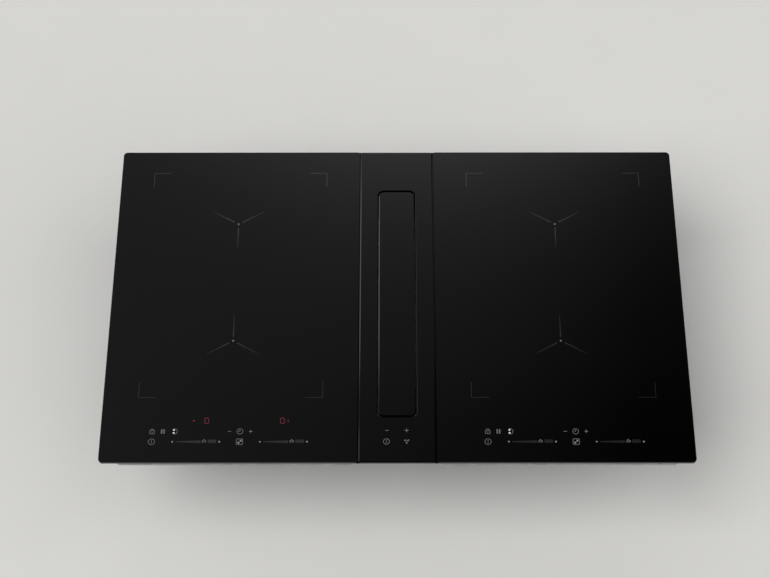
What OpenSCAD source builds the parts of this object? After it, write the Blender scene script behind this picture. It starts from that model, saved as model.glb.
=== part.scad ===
// Flush extractor hob: a downdraft hood module between two induction cooking modules.
// Millimetres. Z = 0 is the worktop's top face, X = Y = 0 the middle of its cut-out.
// +X points to the right, +Y to the back and +Z up.

/* [Glass tops] */
// Width of the three panes together
total_w = 830; // [820:5:900]
// Depth of the panes, front to back
total_d = 520; // [516:2:560]
// Thickness of every pane
glass_t = 4; // [4:0.5:5]
// Radius of the outer corners
corner_r = 6; // [3:0.5:9]
// Radius of the corners at the joints between panes
joint_corner_r = 2.5; // [2.5:0.5:4]
// Ground edge along the cooking modules' panes
glass_bevel = 0.3; // [0.2:0.1:0.8]
// Width of the facet round the hood's pane and its flap
facet_w = 1.4; // [1:0.1:2]
// Width of the hood's own pane
hood_w = 108; // [108:1:120]
// Gap between two panes
seam_gap = 1.5; // [1.2:0.1:2.5]

/* [Seat in the worktop] */
// Thickness of the seal under the glass edge
seal_t = 2; // [1.5:0.5:3]
// Width of the seal
seal_w = 8; // [6:0.5:10]
// How far the glass covers the worktop on each side
glass_overlap = 15; // [14:0.5:18]
// Room between the casings and the cut-out
cutout_clear = 2; // [1:0.5:4]

/* [Tilting flap] */
// Width of the flap
flap_w = 53; // [50:1:56]
// Length of the flap
flap_l = 377; // [357:5:382]
// Radius of the flap's corners
flap_r = 8; // [5:0.5:12]
// Gap round the closed flap
flap_gap = 1.5; // [1.4:0.1:2]
// How far the pivot lies left of the middle
pivot_offset = 8; // [7:0.5:10]
// Depth of the pivot below the glass
pivot_drop = 5; // [5:0.25:5.5]
// Radius of the pivot pins
pin_r = 2.5; // [2:0.25:2.75]
// Wall of the pivot bushes
bush_wall = 1.5; // [1:0.25:1.5]
// Teeth that the whole flap gear would have
sector_teeth = 40; // [36:2:40]
// Teeth on the motor's pinion
pinion_teeth = 12; // [12:1:14]
// Module of the gear teeth
gear_module = 1; // [0.9:0.05:1]
// Angle through which the flap opens, in degrees
flap_open = 80; // [60:5:80]

/* [Air way] */
// Height of the intake frame below the glass
frame_h = 38; // [36:1:42]
// Depth of the grease filter's basket
filter_depth = 40; // [34:1:50]
// Wall of the moulded air housings
housing_wall = 2.5; // [2:0.25:3]
// Height of the plenum under the casings
plenum_h = 40; // [36:1:50]
// Width of the flat duct at the outlet
duct_w = 222; // [210:1:230]
// Height of the flat duct at the outlet
duct_h = 89; // [84:1:100]
// Length of the duct spigot
spigot_l = 38; // [25:1:40]
// Radius of the fan wheel
wheel_r = 60; // [56:1:62]
// Number of blades on the fan wheel
wheel_blades = 30; // [20:1:36]
// Depth of the drip tray
tray_depth = 34; // [25:1:45]

/* [Cooking modules] */
// Height of the casings below the glass
casing_h = 52; // [50:1:60]
// Thickness of the casings' sheet
sheet_t = 1; // [0.8:0.1:1.5]
// Outer radius of a coil
coil_r = 92; // [85:1:95]
// Distance between the two coils of one module
coil_pitch = 198.3; // [196:0.1:204]
// Height of the copper winding
coil_t = 7; // [5:0.5:9]
// Side of the cooling fans
fan_size = 80; // [70:1:84]
// Height of the cooling fans
fan_h = 20; // [16:1:22]

/* [Hidden] */

$fn = 48;
eps = 0.01;                                   // cuts run this far past a face
run = 0.05;                                   // radial clearance of a turning pin
snug = 0.02;                                  // radial clearance of a pressed-in pin
free = 0.3;                                   // clearance beside a sliding piece
screw_r = 2;                                  // every screw is an M4
screw_hole_l = 20;                            // the cutters of screw holes, through any wall

// Plan, from the middle outwards
seam_x = hood_w/2 + seam_gap/2;               // middle of a joint between panes
pane_in = hood_w/2 + seam_gap;
hob_x = (pane_in + total_w/2)/2;              // middle of a cooking module
strip_t = 1.5;                                // flange of the strips in the joints
rail_w = 14.5;
rail_h = 14;
rail_t = 1.5;
rail_in = seam_x - rail_w/2;
casing_in = seam_x + rail_w/2;
cut_x = total_w/2 - glass_overlap;            // half of the worktop's cut-out
cut_y = total_d/2 - glass_overlap;
casing_out = cut_x - cutout_clear;
end_clear = 5;                                // more room at the casings' ends
casing_y = cut_y - cutout_clear - end_clear;
rail_screw_y = casing_y - 38;
casing_mid = (casing_in + casing_out)/2;
casing_w = casing_out - casing_in;
casing_r = 6;
seal_inset = 1;                               // the seal stays this far inside the glass
seal_corner_r = 3;                            // inner corners of the seal
strip_y = total_d/2 - seal_inset - seal_w - 0.1;  // the strips run up to the seal
facet_h = 0.62*facet_w;                       // a facet tilted by 32 degrees

// Heights, from the top down
casing_z = seal_t - casing_h;
floor_z = casing_z + sheet_t;
frame_z = seal_t - frame_h;
frame_plate_t = 4;
ledge_z = frame_z + frame_plate_t;            // ledge that carries the filter's rim
plenum_top = casing_z - 10;                   // below the casings' air intakes
plenum_z = plenum_top - plenum_h;
blower_h = duct_h + 1;
blower_z = plenum_z - blower_h;

// Flap and its drive
open_w = flap_w + 2*flap_gap;
open_l = flap_l + 2*flap_gap;
open_r = flap_r + flap_gap;
pivot_x = -pivot_offset;
pivot_z = seal_t - pivot_drop;
mouth_w = open_w + 3;                         // clear way inside the intake frame
mouth_l = open_l + 1;
side_wall_t = 2;
end_wall_t = 9.5;                             // end walls hold the bushes
frame_y = mouth_l/2 + end_wall_t;
flange_x = rail_in - 1.5;
flange_y = frame_y + 2;
bush_r = pin_r + run + bush_wall;
ear_y0 = flap_l/2 - 10;
ear_y1 = flap_l/2 - 2;
gear_y = frame_y + 2;                         // front face of the flap's gear
gear_w = 6;
sector_r = sector_teeth*gear_module/2;
pinion_r = pinion_teeth*gear_module/2;
pinion_z = pivot_z - sector_r - pinion_r;
pressure_angle = 25;
addendum = 0.9*gear_module;
dedendum = 1.1*gear_module;
backlash = 0.2;
flank_steps = 5;
motor_r = 12;
motor_y = gear_y + gear_w + 2;
motor_l = 30;
motor_bore_l = 5;
bracket_t = 1.5;
bracket_left = pivot_x - sector_r - addendum - 1.5;
bracket_right = pivot_x + sector_r + addendum + 1.5;
carrier_t = 2;

// Grease filter
filter_x = open_w/2 - 3.5;
filter_y = open_l/2 - 5.5;
filter_rim = 3;
rim_t = 2;
filter_t = 1.2;
filter_z = ledge_z - filter_depth;
slot_count = 44;
slot_w = 3;
grip_r = 2;
grip_l = 120;

// Air shaft, plenum and blower
shaft_x = filter_x + 9;                       // half of the inner width
shaft_y = filter_y + 8;
shaft_flange_t = 3;
rib_pitch = 56;                               // ribs outside the frame and the shaft
wide_x = duct_w/2 + housing_wall;             // plenum over the blower
wide_y0 = -20;
wide_r = 18;
wide_y1 = gear_y + 1;
neck_x = flange_x + 2;
neck_y = flange_y;
neck_lap = 30;                                // the narrow part runs this far into the wide one
blower_x = -22;
blower_y = 92;
scroll_start = 80;                            // direction of the scroll's tongue
scroll_turn = 280;                            // angle that the spiral covers
scroll_gap = wheel_r/10;
scroll_growth = wheel_r/2;
spigot_t = 2;
spigot_y = wide_y1;
spigot_flange = 7;
wheel_top = plenum_z - 13;
wheel_z = blower_z + 12;
eye_r = wheel_r - 12;
can_r = 28;
can_t = 2;
shaft_r = 4;
motor_foot_r = 38;
motor_foot_t = 2;
stator_r = can_r - can_t - 1;
tray_x = neck_x - 8;
tray_y0 = -neck_y + 8;
tray_y1 = wide_y0 - 26;
tray_t = 2;
tray_seal_t = 1.5;
clip_t = 1;
clip_w = 22;
clip_pitch = 90;

// Hood electronics
box_x = neck_x;
box_w = 58;
box_y0 = -190;
box_y1 = -40;
box_t = 2;
gland_r = 8;
gland_bore_r = 4.5;
gland_flange_l = 6;
gland_nut_l = 10;
gland_end = 4;                                // thread inside the box

// Cooking modules
screw_inset = 14;                             // bracket screws lie this far inside the casing
coil_rear_y = 130.5;
coil_front_y = coil_rear_y - coil_pitch;
coil_hole_r = 25;
coil_turns = 9;
sensor_r = 6;
sensor_flange_r = 18;
mica_t = 1;
mica_y0 = coil_front_y - coil_r - 6;
mica_y1 = casing_y - 12;
lip_w = 4;
coil_top = seal_t - mica_t;
ferrite_t = 5;
ferrite_z = coil_top - coil_t - ferrite_t;
plate_t = 2;
plate_z = ferrite_z - plate_t;
plate_half = casing_out - screw_inset - screw_r - 12 - hob_x;
leg_w = 10;
leg_d = 30;
leg_y0 = mica_y0 + 4;
leg_y1 = mica_y1 - 4 - leg_d;
standoff_h = 5;
board_t = 1.6;
board_z = floor_z + standoff_h;
board_mid = [40, 60];
board_size = [200, 240];
sink_size = [70, 160];
sink_base_t = 4;
sink_fin_t = 1.5;
cap_r = 12;
cap_pitch = 34;
choke_r = 18;
choke_h = 14;
relay_size = [34, 60, 12];
sink_h = plate_z - 4 - board_z - board_t;
fan_mid = [leg_w + 5 + fan_size/2 - plate_half, -104];
fan_z = floor_z + 2;
fan_ring_r = fan_size/2 - 2;
fan_hub_r = 14;
fan_pin_r = 1.5;
touch_y0 = -casing_y + lip_w + 1;
touch_y1 = mica_y0 - 22;
touch_w = 250;
touch_h = 8;                                  // carrier's height under the glass
touch_gap = 2.5;                              // board's underside below the glass
touch_leg = [10, 20];
display_x = [-41.5, 65];                      // middles of the lit displays
display_size = [32, 12];
hole_reach = 7;                               // bracket holes lie this far past the cut-out
bracket_hole_r = 2.75;
bracket_y = 150;
bracket_w = 36;
bracket_screw_y = 10;                         // the two screws of a bracket, from its middle

// Basic forms

module rounded_rect(w, d, r) {
    square([w, d - 2*r], center = true);
    square([w - 2*r, d], center = true);
    for (sx = [-1, 1], sy = [-1, 1])
        translate([sx*(w/2 - r), sy*(d/2 - r)])
            circle(r);
}

module slab(w, d, r, z0, z1) {
    translate([0, 0, z0])
        linear_extrude(z1 - z0)
            rounded_rect(w, d, r);
}

module rounded_box(x0, x1, y0, y1, r, z0, z1) {
    translate([(x0 + x1)/2, (y0 + y1)/2, 0])
        slab(x1 - x0, y1 - y0, r, z0, z1);
}

module block(x0, x1, y0, y1, z0, z1) {
    translate([x0, y0, z0])
        cube([x1 - x0, y1 - y0, z1 - z0]);
}

module along_y(y0, y1) {
    translate([0, y1, 0])
        rotate([90, 0, 0])
            linear_extrude(y1 - y0)
                children();
}

module along_x(x0, x1) {
    translate([x0, 0, 0])
        rotate([90, 0, 90])
            linear_extrude(x1 - x0)
                children();
}

module rod_y(x, z, r, y0, y1) {
    translate([x, y1, z])
        rotate([90, 0, 0])
            cylinder(r = r, h = y1 - y0);
}

module slot(l, w) {
    square([l - w, w], center = true);
    for (s = [-1, 1])
        translate([s*(l - w)/2, 0])
            circle(w/2, $fn = 24);
}

// A screw that points down, its head's underside at the origin
module screw(l) {
    translate([0, 0, -l])
        cylinder(r = screw_r - snug, h = l, $fn = 24);
    difference() {
        cylinder(r = 2*screw_r, h = 2, $fn = 24);
        translate([0, 0, 1])
            cylinder(r = screw_r*0.9, h = 2, $fn = 6);
    }
}

module screw_hole() {
    cylinder(r = screw_r, h = screw_hole_l, center = true, $fn = 24);
}

// A plate whose top edge narrows (grow -1) or widens (grow 1) by run over the last drop of its
// height t. r0 is the corner radius on the left and r1 on the right.
module bevelled_plate(x0, x1, d, r0, r1, t, run, drop, grow) {
    mid = (x0 + x1)/2;
    out = grow*run;
    along_x(x0 + r0, x1 - r1)
        polygon([[-d/2, 0], [d/2, 0], [d/2, t - drop], [d/2 + out, t], [-d/2 - out, t],
            [-d/2, t - drop]]);
    along_y(-d/2 + r0, d/2 - r0)
        polygon([[x0, 0], [mid, 0], [mid, t], [x0 - out, t], [x0, t - drop]]);
    along_y(-d/2 + r1, d/2 - r1)
        polygon([[x1, 0], [mid, 0], [mid, t], [x1 + out, t], [x1, t - drop]]);
    for (s = [-1, 1]) {
        translate([x0 + r0, s*(d/2 - r0), 0])
            bevelled_corner(r0, t, out, drop);
        translate([x1 - r1, s*(d/2 - r1), 0])
            bevelled_corner(r1, t, out, drop);
    }
}

module bevelled_corner(r, t, out, drop) {
    rotate_extrude()
        polygon([[0, 0], [r, 0], [r, t - drop], [r + out, t], [0, t]]);
}

// One pane of glass with its upper edge bevelled all round
module pane(x0, x1, d, r0, r1, run, drop) {
    translate([0, 0, seal_t])
        bevelled_plate(x0, x1, d, r0, r1, glass_t, run, drop, -1);
}

// Gear teeth on the involute of a circle

function involute(rb, r) = let (t = sqrt(max(0, r*r/(rb*rb) - 1))) t*180/PI - atan(t);

function half_tooth(teeth, r) =
    let (rp = teeth*gear_module/2)
    let (rb = rp*cos(pressure_angle))
    90/teeth + involute(rb, rp) - involute(rb, max(r, rb)) - backlash/(2*rp)*180/PI;

function polar(r, a) = [r*cos(a), r*sin(a)];

// The outline of one tooth whose middle points along the angle a
function tooth(teeth, a) =
    let (rp = teeth*gear_module/2)
    let (rb = rp*cos(pressure_angle))
    let (r0 = max(rb, rp - dedendum))
    let (r1 = rp + addendum)
    let (rs = [for (i = [0:flank_steps]) r0 + (r1 - r0)*i/flank_steps])
    concat(
        [polar(rp - dedendum, a - half_tooth(teeth, r0))],
        [for (i = [0:flank_steps]) polar(rs[i], a - half_tooth(teeth, rs[i]))],
        [for (i = [flank_steps:-1:0]) polar(rs[i], a + half_tooth(teeth, rs[i]))],
        [polar(rp - dedendum, a + half_tooth(teeth, r0))]);

function teeth_outline(teeth, first, last, start) =
    [for (k = [first:last]) each tooth(teeth, start + k*360/teeth)];

// Glass tops and seal

module worktop_seal() {
    color("#1c1c1e")
    difference() {
        slab(total_w - 2*seal_inset, total_d - 2*seal_inset, corner_r, 0, seal_t);
        slab(total_w - 2*(seal_inset + seal_w), total_d - 2*(seal_inset + seal_w),
            seal_corner_r, -eps, seal_t + eps);
    }
}

module hob_glass(side) {
    color("#17181a")
    if (side < 0)
        pane(-total_w/2, -pane_in, total_d, corner_r, joint_corner_r, glass_bevel, glass_bevel);
    else
        pane(pane_in, total_w/2, total_d, joint_corner_r, corner_r, glass_bevel, glass_bevel);
}

module hood_glass() {
    color("#17181a")
    difference() {
        pane(-hood_w/2, hood_w/2, total_d, joint_corner_r, joint_corner_r, facet_w, facet_h);
        translate([0, 0, seal_t - eps])
            bevelled_plate(-open_w/2, open_w/2, open_l, open_r, open_r, glass_t + 2*eps,
                facet_w/2, facet_h/2 + eps, 1);
    }
}

// A T-shaped strip stands in each joint, and both panes rest on its flange
module seam_strips() {
    color("#2b2c2e")
    for (s = [-1, 1])
        translate([s*seam_x, 0, 0])
            along_y(-strip_y, strip_y) {
                translate([-rail_w/2, seal_t - strip_t])
                    square([rail_w, strip_t]);
                translate([-seam_gap/2, seal_t - eps])
                    square([seam_gap, glass_t - facet_h - 0.1]);
            }
}

// Folded rails under the joints tie the three modules together
module join_rails() {
    color("#b9bcc0")
    for (s = [-1, 1])
        difference() {
            translate([s*seam_x, 0, 0])
                along_y(-casing_y, casing_y)
                    translate([0, seal_t - strip_t - rail_h])
                        difference() {
                            translate([-rail_w/2, 0])
                                square([rail_w, rail_h]);
                            translate([-rail_w/2 + rail_t, -eps])
                                square([rail_w - 2*rail_t, rail_h - rail_t + eps]);
                        }
            rail_screw_places(s)
                screw_hole();
        }
}

module rail_screw_places(s) {
    for (i = [-1:1])
        translate([s*(casing_in - rail_t), i*rail_screw_y, seal_t - strip_t - rail_h/2])
            rotate([0, -s*90, 0])
                children();
}

module bracket_screw_places() {
    for (sx = [-1, 1], sy = [-1, 1], i = [-1, 1])
        translate([sx*(casing_out - screw_inset), sy*bracket_y + i*bracket_screw_y,
            casing_z - bracket_t])
            rotate([180, 0, 0])
                children();
}

module casing_screws() {
    color("#9a9da1") {
        for (s = [-1, 1])
            rail_screw_places(s)
                screw(5);
        bracket_screw_places()
            screw(6);
    }
}

// Flat brackets under the casings take the screws that go up into the worktop
module fixing_brackets() {
    color("#b9bcc0")
    for (sx = [-1, 1], sy = [-1, 1])
        difference() {
            translate([0, sy*bracket_y, 0])
                mirror([sx < 0 ? 1 : 0, 0, 0])
                    rounded_box(casing_out - screw_inset - 10, cut_x + 2*hole_reach - 1,
                        -bracket_w/2, bracket_w/2, 4, casing_z - bracket_t, casing_z);
            translate([sx*(cut_x + hole_reach), sy*bracket_y, casing_z - bracket_t - 1])
                cylinder(r = bracket_hole_r, h = bracket_t + 2);
            bracket_screw_places()
                screw_hole();
        }
}

// Cooking modules

module casing_shell() {
    difference() {
        slab(casing_w, 2*casing_y, casing_r, casing_z, seal_t);
        slab(casing_w - 2*sheet_t, 2*(casing_y - sheet_t), casing_r - sheet_t, floor_z,
            seal_t - sheet_t);
        slab(casing_w - 2*lip_w, 2*(casing_y - lip_w), casing_r, seal_t - 2*sheet_t, seal_t + eps);
    }
}

// Folded sheet tray with air slots under the fan and in its back wall
module casing(side) {
    vents = 9;
    back_slots = 22;
    color("#aeb1b4")
    difference() {
        union() {
            translate([side*casing_mid, 0, 0])
                casing_shell();
            translate([side*hob_x, 0, 0])
                board_feet()
                    cylinder(r = 4, h = standoff_h + sheet_t, $fn = 24);
        }
        translate([side*hob_x + fan_mid[0], fan_mid[1], casing_z - eps])
            for (i = [0:vents - 1])
                translate([0, (i - (vents - 1)/2)*fan_size/vents, 0])
                    linear_extrude(sheet_t + 2*eps)
                        slot(fan_size - 12, 4);
        for (i = [0:back_slots - 1])
            translate([side*casing_mid + (i - (back_slots - 1)/2)*12, 0, (casing_z + seal_t)/2])
                along_y(casing_y - sheet_t - eps, casing_y + eps)
                    rotate(90)
                        slot(casing_h*0.5, 4);
        rail_screw_places(side)
            screw_hole();
        bracket_screw_places()
            screw_hole();
    }
}

module board_feet() {
    for (sx = [-1, 1], sy = [-1, 1])
        translate([board_mid[0] + sx*(board_size[0]/2 - 8), board_mid[1] + sy*(board_size[1]/2 - 8),
            casing_z])
            children();
}

module insulation(side) {
    color("#d8d2c4")
    rounded_box(side*casing_mid - casing_w/2 + lip_w + 1, side*casing_mid + casing_w/2 - lip_w - 1,
        mica_y0, mica_y1, 8, seal_t - mica_t, seal_t);
}

module coil_places(side) {
    for (y = [coil_rear_y, coil_front_y])
        translate([side*hob_x, y, 0])
            children();
}

// Flat pancake coils: a grooved disc stands for the winding of each
module coils(side) {
    pitch = (coil_r - coil_hole_r)/coil_turns;
    color("#b5693a")
    coil_places(side)
        translate([0, 0, coil_top - coil_t])
            rotate_extrude()
                difference() {
                    translate([coil_hole_r, 0])
                        square([coil_r - coil_hole_r, coil_t]);
                    for (i = [1:coil_turns - 1])
                        translate([coil_hole_r + i*pitch - 0.5, coil_t - 1.5])
                            square([1, 2]);
                }
}

module ferrites(side) {
    bars = 8;
    color("#3c3d40")
    coil_places(side)
        for (i = [0:bars - 1])
            rotate(i*360/bars)
                translate([coil_hole_r + 6, -7, ferrite_z])
                    cube([coil_r - coil_hole_r - 12, 14, ferrite_t]);
}

// Aluminium plate on folded legs that press the coils up against the glass
module coil_plate(side) {
    color("#c9ccd0")
    translate([side*hob_x, 0, 0])
    difference() {
        union() {
            rounded_box(-plate_half, plate_half, leg_y0, leg_y1 + leg_d, 6, plate_z, ferrite_z);
            for (sx = [-1, 1], y = [leg_y0, leg_y1])
                translate([sx*(plate_half - leg_w/2) - leg_w/2, y, floor_z])
                    cube([leg_w, leg_d, plate_z - floor_z + eps]);
        }
        coil_holes();
        for (sx = [-1, 1], y = [leg_y0, leg_y1])
            translate([sx*(plate_half - leg_w - plate_t) - leg_w/2 - eps, y - 1, floor_z + plate_t])
                cube([leg_w, leg_d + 2, plate_z - floor_z - 2*plate_t]);
    }
}

// The sensors pass through the plate
module coil_holes() {
    for (y = [coil_rear_y, coil_front_y])
        translate([0, y, plate_z - 1])
            cylinder(r = sensor_r + 8, h = plate_t + 2);
}

// A sprung sensor stands in the middle of each coil and touches the glass
module sensors(side) {
    color("#e6e3da")
    coil_places(side)
        translate([0, 0, plate_z - sensor_r]) {
            cylinder(r = sensor_r, h = coil_top - plate_z + sensor_r);
            translate([0, 0, sensor_r/2])
                cylinder(r = sensor_flange_r, h = sensor_r/2);
        }
}

module power_board(side) {
    color("#2f6b45")
    translate([side*hob_x + board_mid[0], board_mid[1], board_z]) {
        translate([-board_size[0]/2, -board_size[1]/2, 0])
            cube([board_size[0], board_size[1], board_t]);
        for (i = [0:3])
            translate([-board_size[0]/2 + cap_r + 10, -board_size[1]/2 + cap_pitch*(i + 0.9),
                board_t - eps])
                cylinder(r = cap_r, h = sink_h - 4);
        translate([-30, board_size[1]/2 - 3.3*choke_r, board_t - eps])
            cylinder(r = choke_r, h = choke_h);
        translate([-36, -board_size[1]/2 + 20, board_t - eps])
            cube(relay_size);
    }
}

module heat_sink(side) {
    fins = 12;
    color("#a8abb0")
    translate([side*hob_x + board_mid[0] + board_size[0]/2 - sink_size[0] - 6,
        board_mid[1] - sink_size[1]/2, board_z + board_t]) {
        cube([sink_size[0], sink_size[1], sink_base_t]);
        for (i = [0:fins - 1])
            translate([i*(sink_size[0] - sink_fin_t)/(fins - 1), 0, sink_base_t - eps])
                cube([sink_fin_t, sink_size[1], sink_h - sink_base_t]);
    }
}

module fan_frame(side) {
    strut = 4;
    floor_t = 3;
    color("#26272a")
    translate([side*hob_x + fan_mid[0], fan_mid[1], fan_z])
    difference() {
        union() {
            difference() {
                slab(fan_size, fan_size, 5, 0, fan_h);
                translate([0, 0, -1])
                    cylinder(r = fan_ring_r, h = fan_h + 2);
            }
            for (i = [0:2])
                rotate(i*120 + 90)
                    translate([0, -strut/2, 0])
                        cube([fan_ring_r + 1, strut, floor_t]);
            cylinder(r = fan_hub_r, h = floor_t);
        }
        translate([0, 0, -1])
            cylinder(r = fan_pin_r + run, h = fan_h);
        for (sx = [-1, 1], sy = [-1, 1])
            translate([sx*(fan_size/2 - 5), sy*(fan_size/2 - 5), -1])
                cylinder(r = 2, h = fan_h + 2, $fn = 24);
    }
    // Rubber feet that stand on the casing's floor
    color("#26272a")
    for (sx = [-1, 1], sy = [-1, 1])
        translate([side*hob_x + fan_mid[0] + sx*(fan_size/2 - 5), fan_mid[1] + sy*(fan_size/2 - 5),
            floor_z])
            difference() {
                cylinder(r = 4.5, h = fan_z - floor_z, $fn = 24);
                translate([0, 0, -1])
                    cylinder(r = 2, h = fan_z - floor_z + 2, $fn = 24);
            }
}

module fan_rotor(side) {
    blades = 7;
    hub_z = 4;
    blade_h = fan_h - hub_z - 2;
    tilt = 35;
    blade_t = 1.6;
    blade_l = (blade_h - 1)/cos(tilt) - blade_t*tan(tilt);
    color("#303236")
    translate([side*hob_x + fan_mid[0], fan_mid[1], fan_z]) {
        translate([0, 0, hub_z])
            cylinder(r = fan_hub_r, h = blade_h);
        cylinder(r = fan_pin_r, h = hub_z + 1);
        for (i = [0:blades - 1])
            rotate(i*360/blades)
                translate([fan_hub_r - 3, 0, hub_z + blade_h/2])
                    rotate([tilt, 0, 0])
                        translate([0, -blade_t/2, -blade_l/2])
                            cube([fan_ring_r - 3 - (fan_hub_r - 3), blade_t, blade_l]);
    }
}

// Touch controls under the front of the glass, on a carrier with two legs
module touch_board(side) {
    carrier_z = seal_t - touch_h;
    color("#2d2e31")
    translate([side*hob_x, 0, 0]) {
        difference() {
            rounded_box(-touch_w/2, touch_w/2, touch_y0, touch_y1, 4, carrier_z,
                seal_t - touch_gap);
            rounded_box(-touch_w/2 + 2, touch_w/2 - 2, touch_y0 + 2, touch_y1 - 2, 3, carrier_z + 2,
                seal_t);
        }
        for (sx = [-1, 1])
            translate([sx*(touch_w/2 - 15) - touch_leg[0]/2, touch_y0 + 4, floor_z])
                cube([touch_leg[0], touch_leg[1], carrier_z - floor_z + eps]);
        rounded_box(-touch_w/2 + 1, touch_w/2 - 1, touch_y0 + 1, touch_y1 - 1, 3,
            seal_t - touch_gap, seal_t - touch_gap + board_t);
        for (x = display_x)
            translate([x - display_size[0]/2, touch_y1 - display_size[1] - 2,
                seal_t - touch_gap + board_t - 0.1])
                cube([display_size[0], display_size[1], touch_gap - board_t + 0.1]);
    }
}

// Hood module: flap and drive

module flap_glass() {
    color("#17181a")
    pane(-flap_w/2, flap_w/2, flap_l, flap_r, flap_r, facet_w, facet_h);
}

// Metal carrier under the flap, with an ear at each end for the pivot pins
module flap_carrier() {
    color("#3a3b3e")
    difference() {
        union() {
            slab(flap_w - 8, flap_l - 8, flap_r - 3, seal_t - carrier_t, seal_t);
            for (s = [-1, 1])
                along_y(min(s*ear_y0, s*ear_y1), max(s*ear_y0, s*ear_y1)) {
                    translate([pivot_x, pivot_z])
                        circle(pin_r + 2);
                    translate([pivot_x - pin_r - 2, pivot_z])
                        square([2*pin_r + 4, pivot_drop - carrier_t + eps]);
                }
            // Stiffening rib along the pivot
            translate([pivot_x - 1, -ear_y0, seal_t - carrier_t - 3])
                cube([2, 2*ear_y0, 3 + eps]);
        }
        rod_y(pivot_x, pivot_z, pin_r + snug, -flap_l/2, flap_l/2);
    }
}

module flap_front_pin() {
    color("#c4c6c9")
    rod_y(pivot_x, pivot_z, pin_r, -frame_y, -ear_y0);
}

// Rear pivot shaft with the toothed sector that the motor drives
module flap_gear_shaft() {
    first = -1;
    last = ceil(flap_open*sector_teeth/360) + 1;
    color("#c4c6c9")
    rod_y(pivot_x, pivot_z, pin_r, ear_y0, gear_y + gear_w + 1);
    color("#e4e2da")
    translate([pivot_x, 0, pivot_z])
        along_y(gear_y, gear_y + gear_w) {
            circle(pin_r + 2);
            polygon(concat([[0, 0]], teeth_outline(sector_teeth, -last, -first, 270)));
        }
}

module flap_bushes() {
    color("#e9e7df")
    for (s = [-1, 1])
        difference() {
            rod_y(pivot_x, pivot_z, bush_r - snug, min(s*mouth_l/2, s*frame_y),
                max(s*mouth_l/2, s*frame_y));
            rod_y(pivot_x, pivot_z, pin_r + run, -frame_y - 1, frame_y + 1);
        }
}

// Moulded frame bonded under the hood's pane: it holds the bushes and the filter's ledge
module intake_frame() {
    flange_t = 2;
    color("#2a2b2d")
    difference() {
        union() {
            slab(2*flange_x, 2*flange_y, 4, seal_t - flange_t, seal_t);
            slab(mouth_w + 2*side_wall_t, 2*frame_y, 4, frame_z, seal_t);
            slab(2*flange_x, 2*frame_y, 4, frame_z, ledge_z);
            for (i = [-3:3], s = [-1, 1])
                translate([s > 0 ? mouth_w/2 : -flange_x, i*rib_pitch - 1, frame_z])
                    cube([flange_x - mouth_w/2, 2, frame_h]);
        }
        slab(mouth_w, mouth_l, 3, ledge_z, seal_t + eps);
        slab(2*(filter_x + 0.6), 2*(filter_y + 0.6), 4, frame_z - eps, ledge_z + eps);
        rod_y(pivot_x, pivot_z, bush_r, -frame_y - 1, frame_y + 1);
        shaft_screw_places()
            translate([0, 0, frame_z])
                screw_hole();
    }
}

module flap_pinion() {
    color("#e4e2da")
    translate([pivot_x, 0, pinion_z])
        along_y(gear_y, gear_y + gear_w)
            polygon(teeth_outline(pinion_teeth, 0, pinion_teeth - 1, 90 + 180/pinion_teeth));
    color("#c4c6c9")
    rod_y(pivot_x, pinion_z, pin_r - 0.5, gear_y + gear_w - eps, motor_y + motor_bore_l - 1);
}

module flap_motor() {
    color("#8d9094")
    difference() {
        union() {
            rod_y(pivot_x, pinion_z, motor_r, motor_y, motor_y + motor_l - 10);
            rod_y(pivot_x, pinion_z, motor_r - 2, motor_y + motor_l - 10 - eps, motor_y + motor_l);
            for (s = [-1, 1])
                rod_y(pivot_x + s*(motor_r + 3), pinion_z, 3.5, motor_y, motor_y + 2);
            translate([pivot_x - motor_r - 3, motor_y, pinion_z - 3.5])
                cube([2*motor_r + 6, 2, 7]);
        }
        rod_y(pivot_x, pinion_z, pin_r - 0.5 + run, motor_y - 1, motor_y + motor_bore_l);
        for (s = [-1, 1])
            rod_y(pivot_x + s*(motor_r + 3), pinion_z, 1.6, motor_y - 1, motor_y + 3);
    }
}

// Folded bracket from the frame's end wall to the motor
module motor_bracket() {
    z0 = pinion_z - motor_r - 1;
    z1 = pinion_z + motor_r - 1;
    color("#b9bcc0")
    difference() {
        union() {
            block(bracket_left - bracket_t, bracket_right + bracket_t, motor_y - bracket_t,
                motor_y, z0, z1);
            block(bracket_left - bracket_t, bracket_left, frame_y, motor_y, frame_z, z1);
            block(bracket_right, bracket_right + bracket_t, frame_y, motor_y, frame_z, z1);
        }
        rod_y(pivot_x, pinion_z, pin_r + 1, motor_y - bracket_t - 1, motor_y + 1);
        for (s = [-1, 1])
            rod_y(pivot_x + s*(motor_r + 3), pinion_z, 1.6, motor_y - bracket_t - 1, motor_y + 1);
    }
}

module hood_touch_board() {
    x = flange_x - 4;
    y0 = touch_y0;
    y1 = -flange_y;
    color("#2d2e31") {
        difference() {
            rounded_box(-x, x, y0, y1, 3, seal_t - 9, seal_t - 1.6);
            rounded_box(-x + 2, x - 2, y0 + 2, y1 - 2, 2, seal_t - 7, seal_t);
        }
        rounded_box(-x + 1, x - 1, y0 + 1, y1 - 1, 2, seal_t - 1.6 - eps, seal_t);
    }
}

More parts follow.
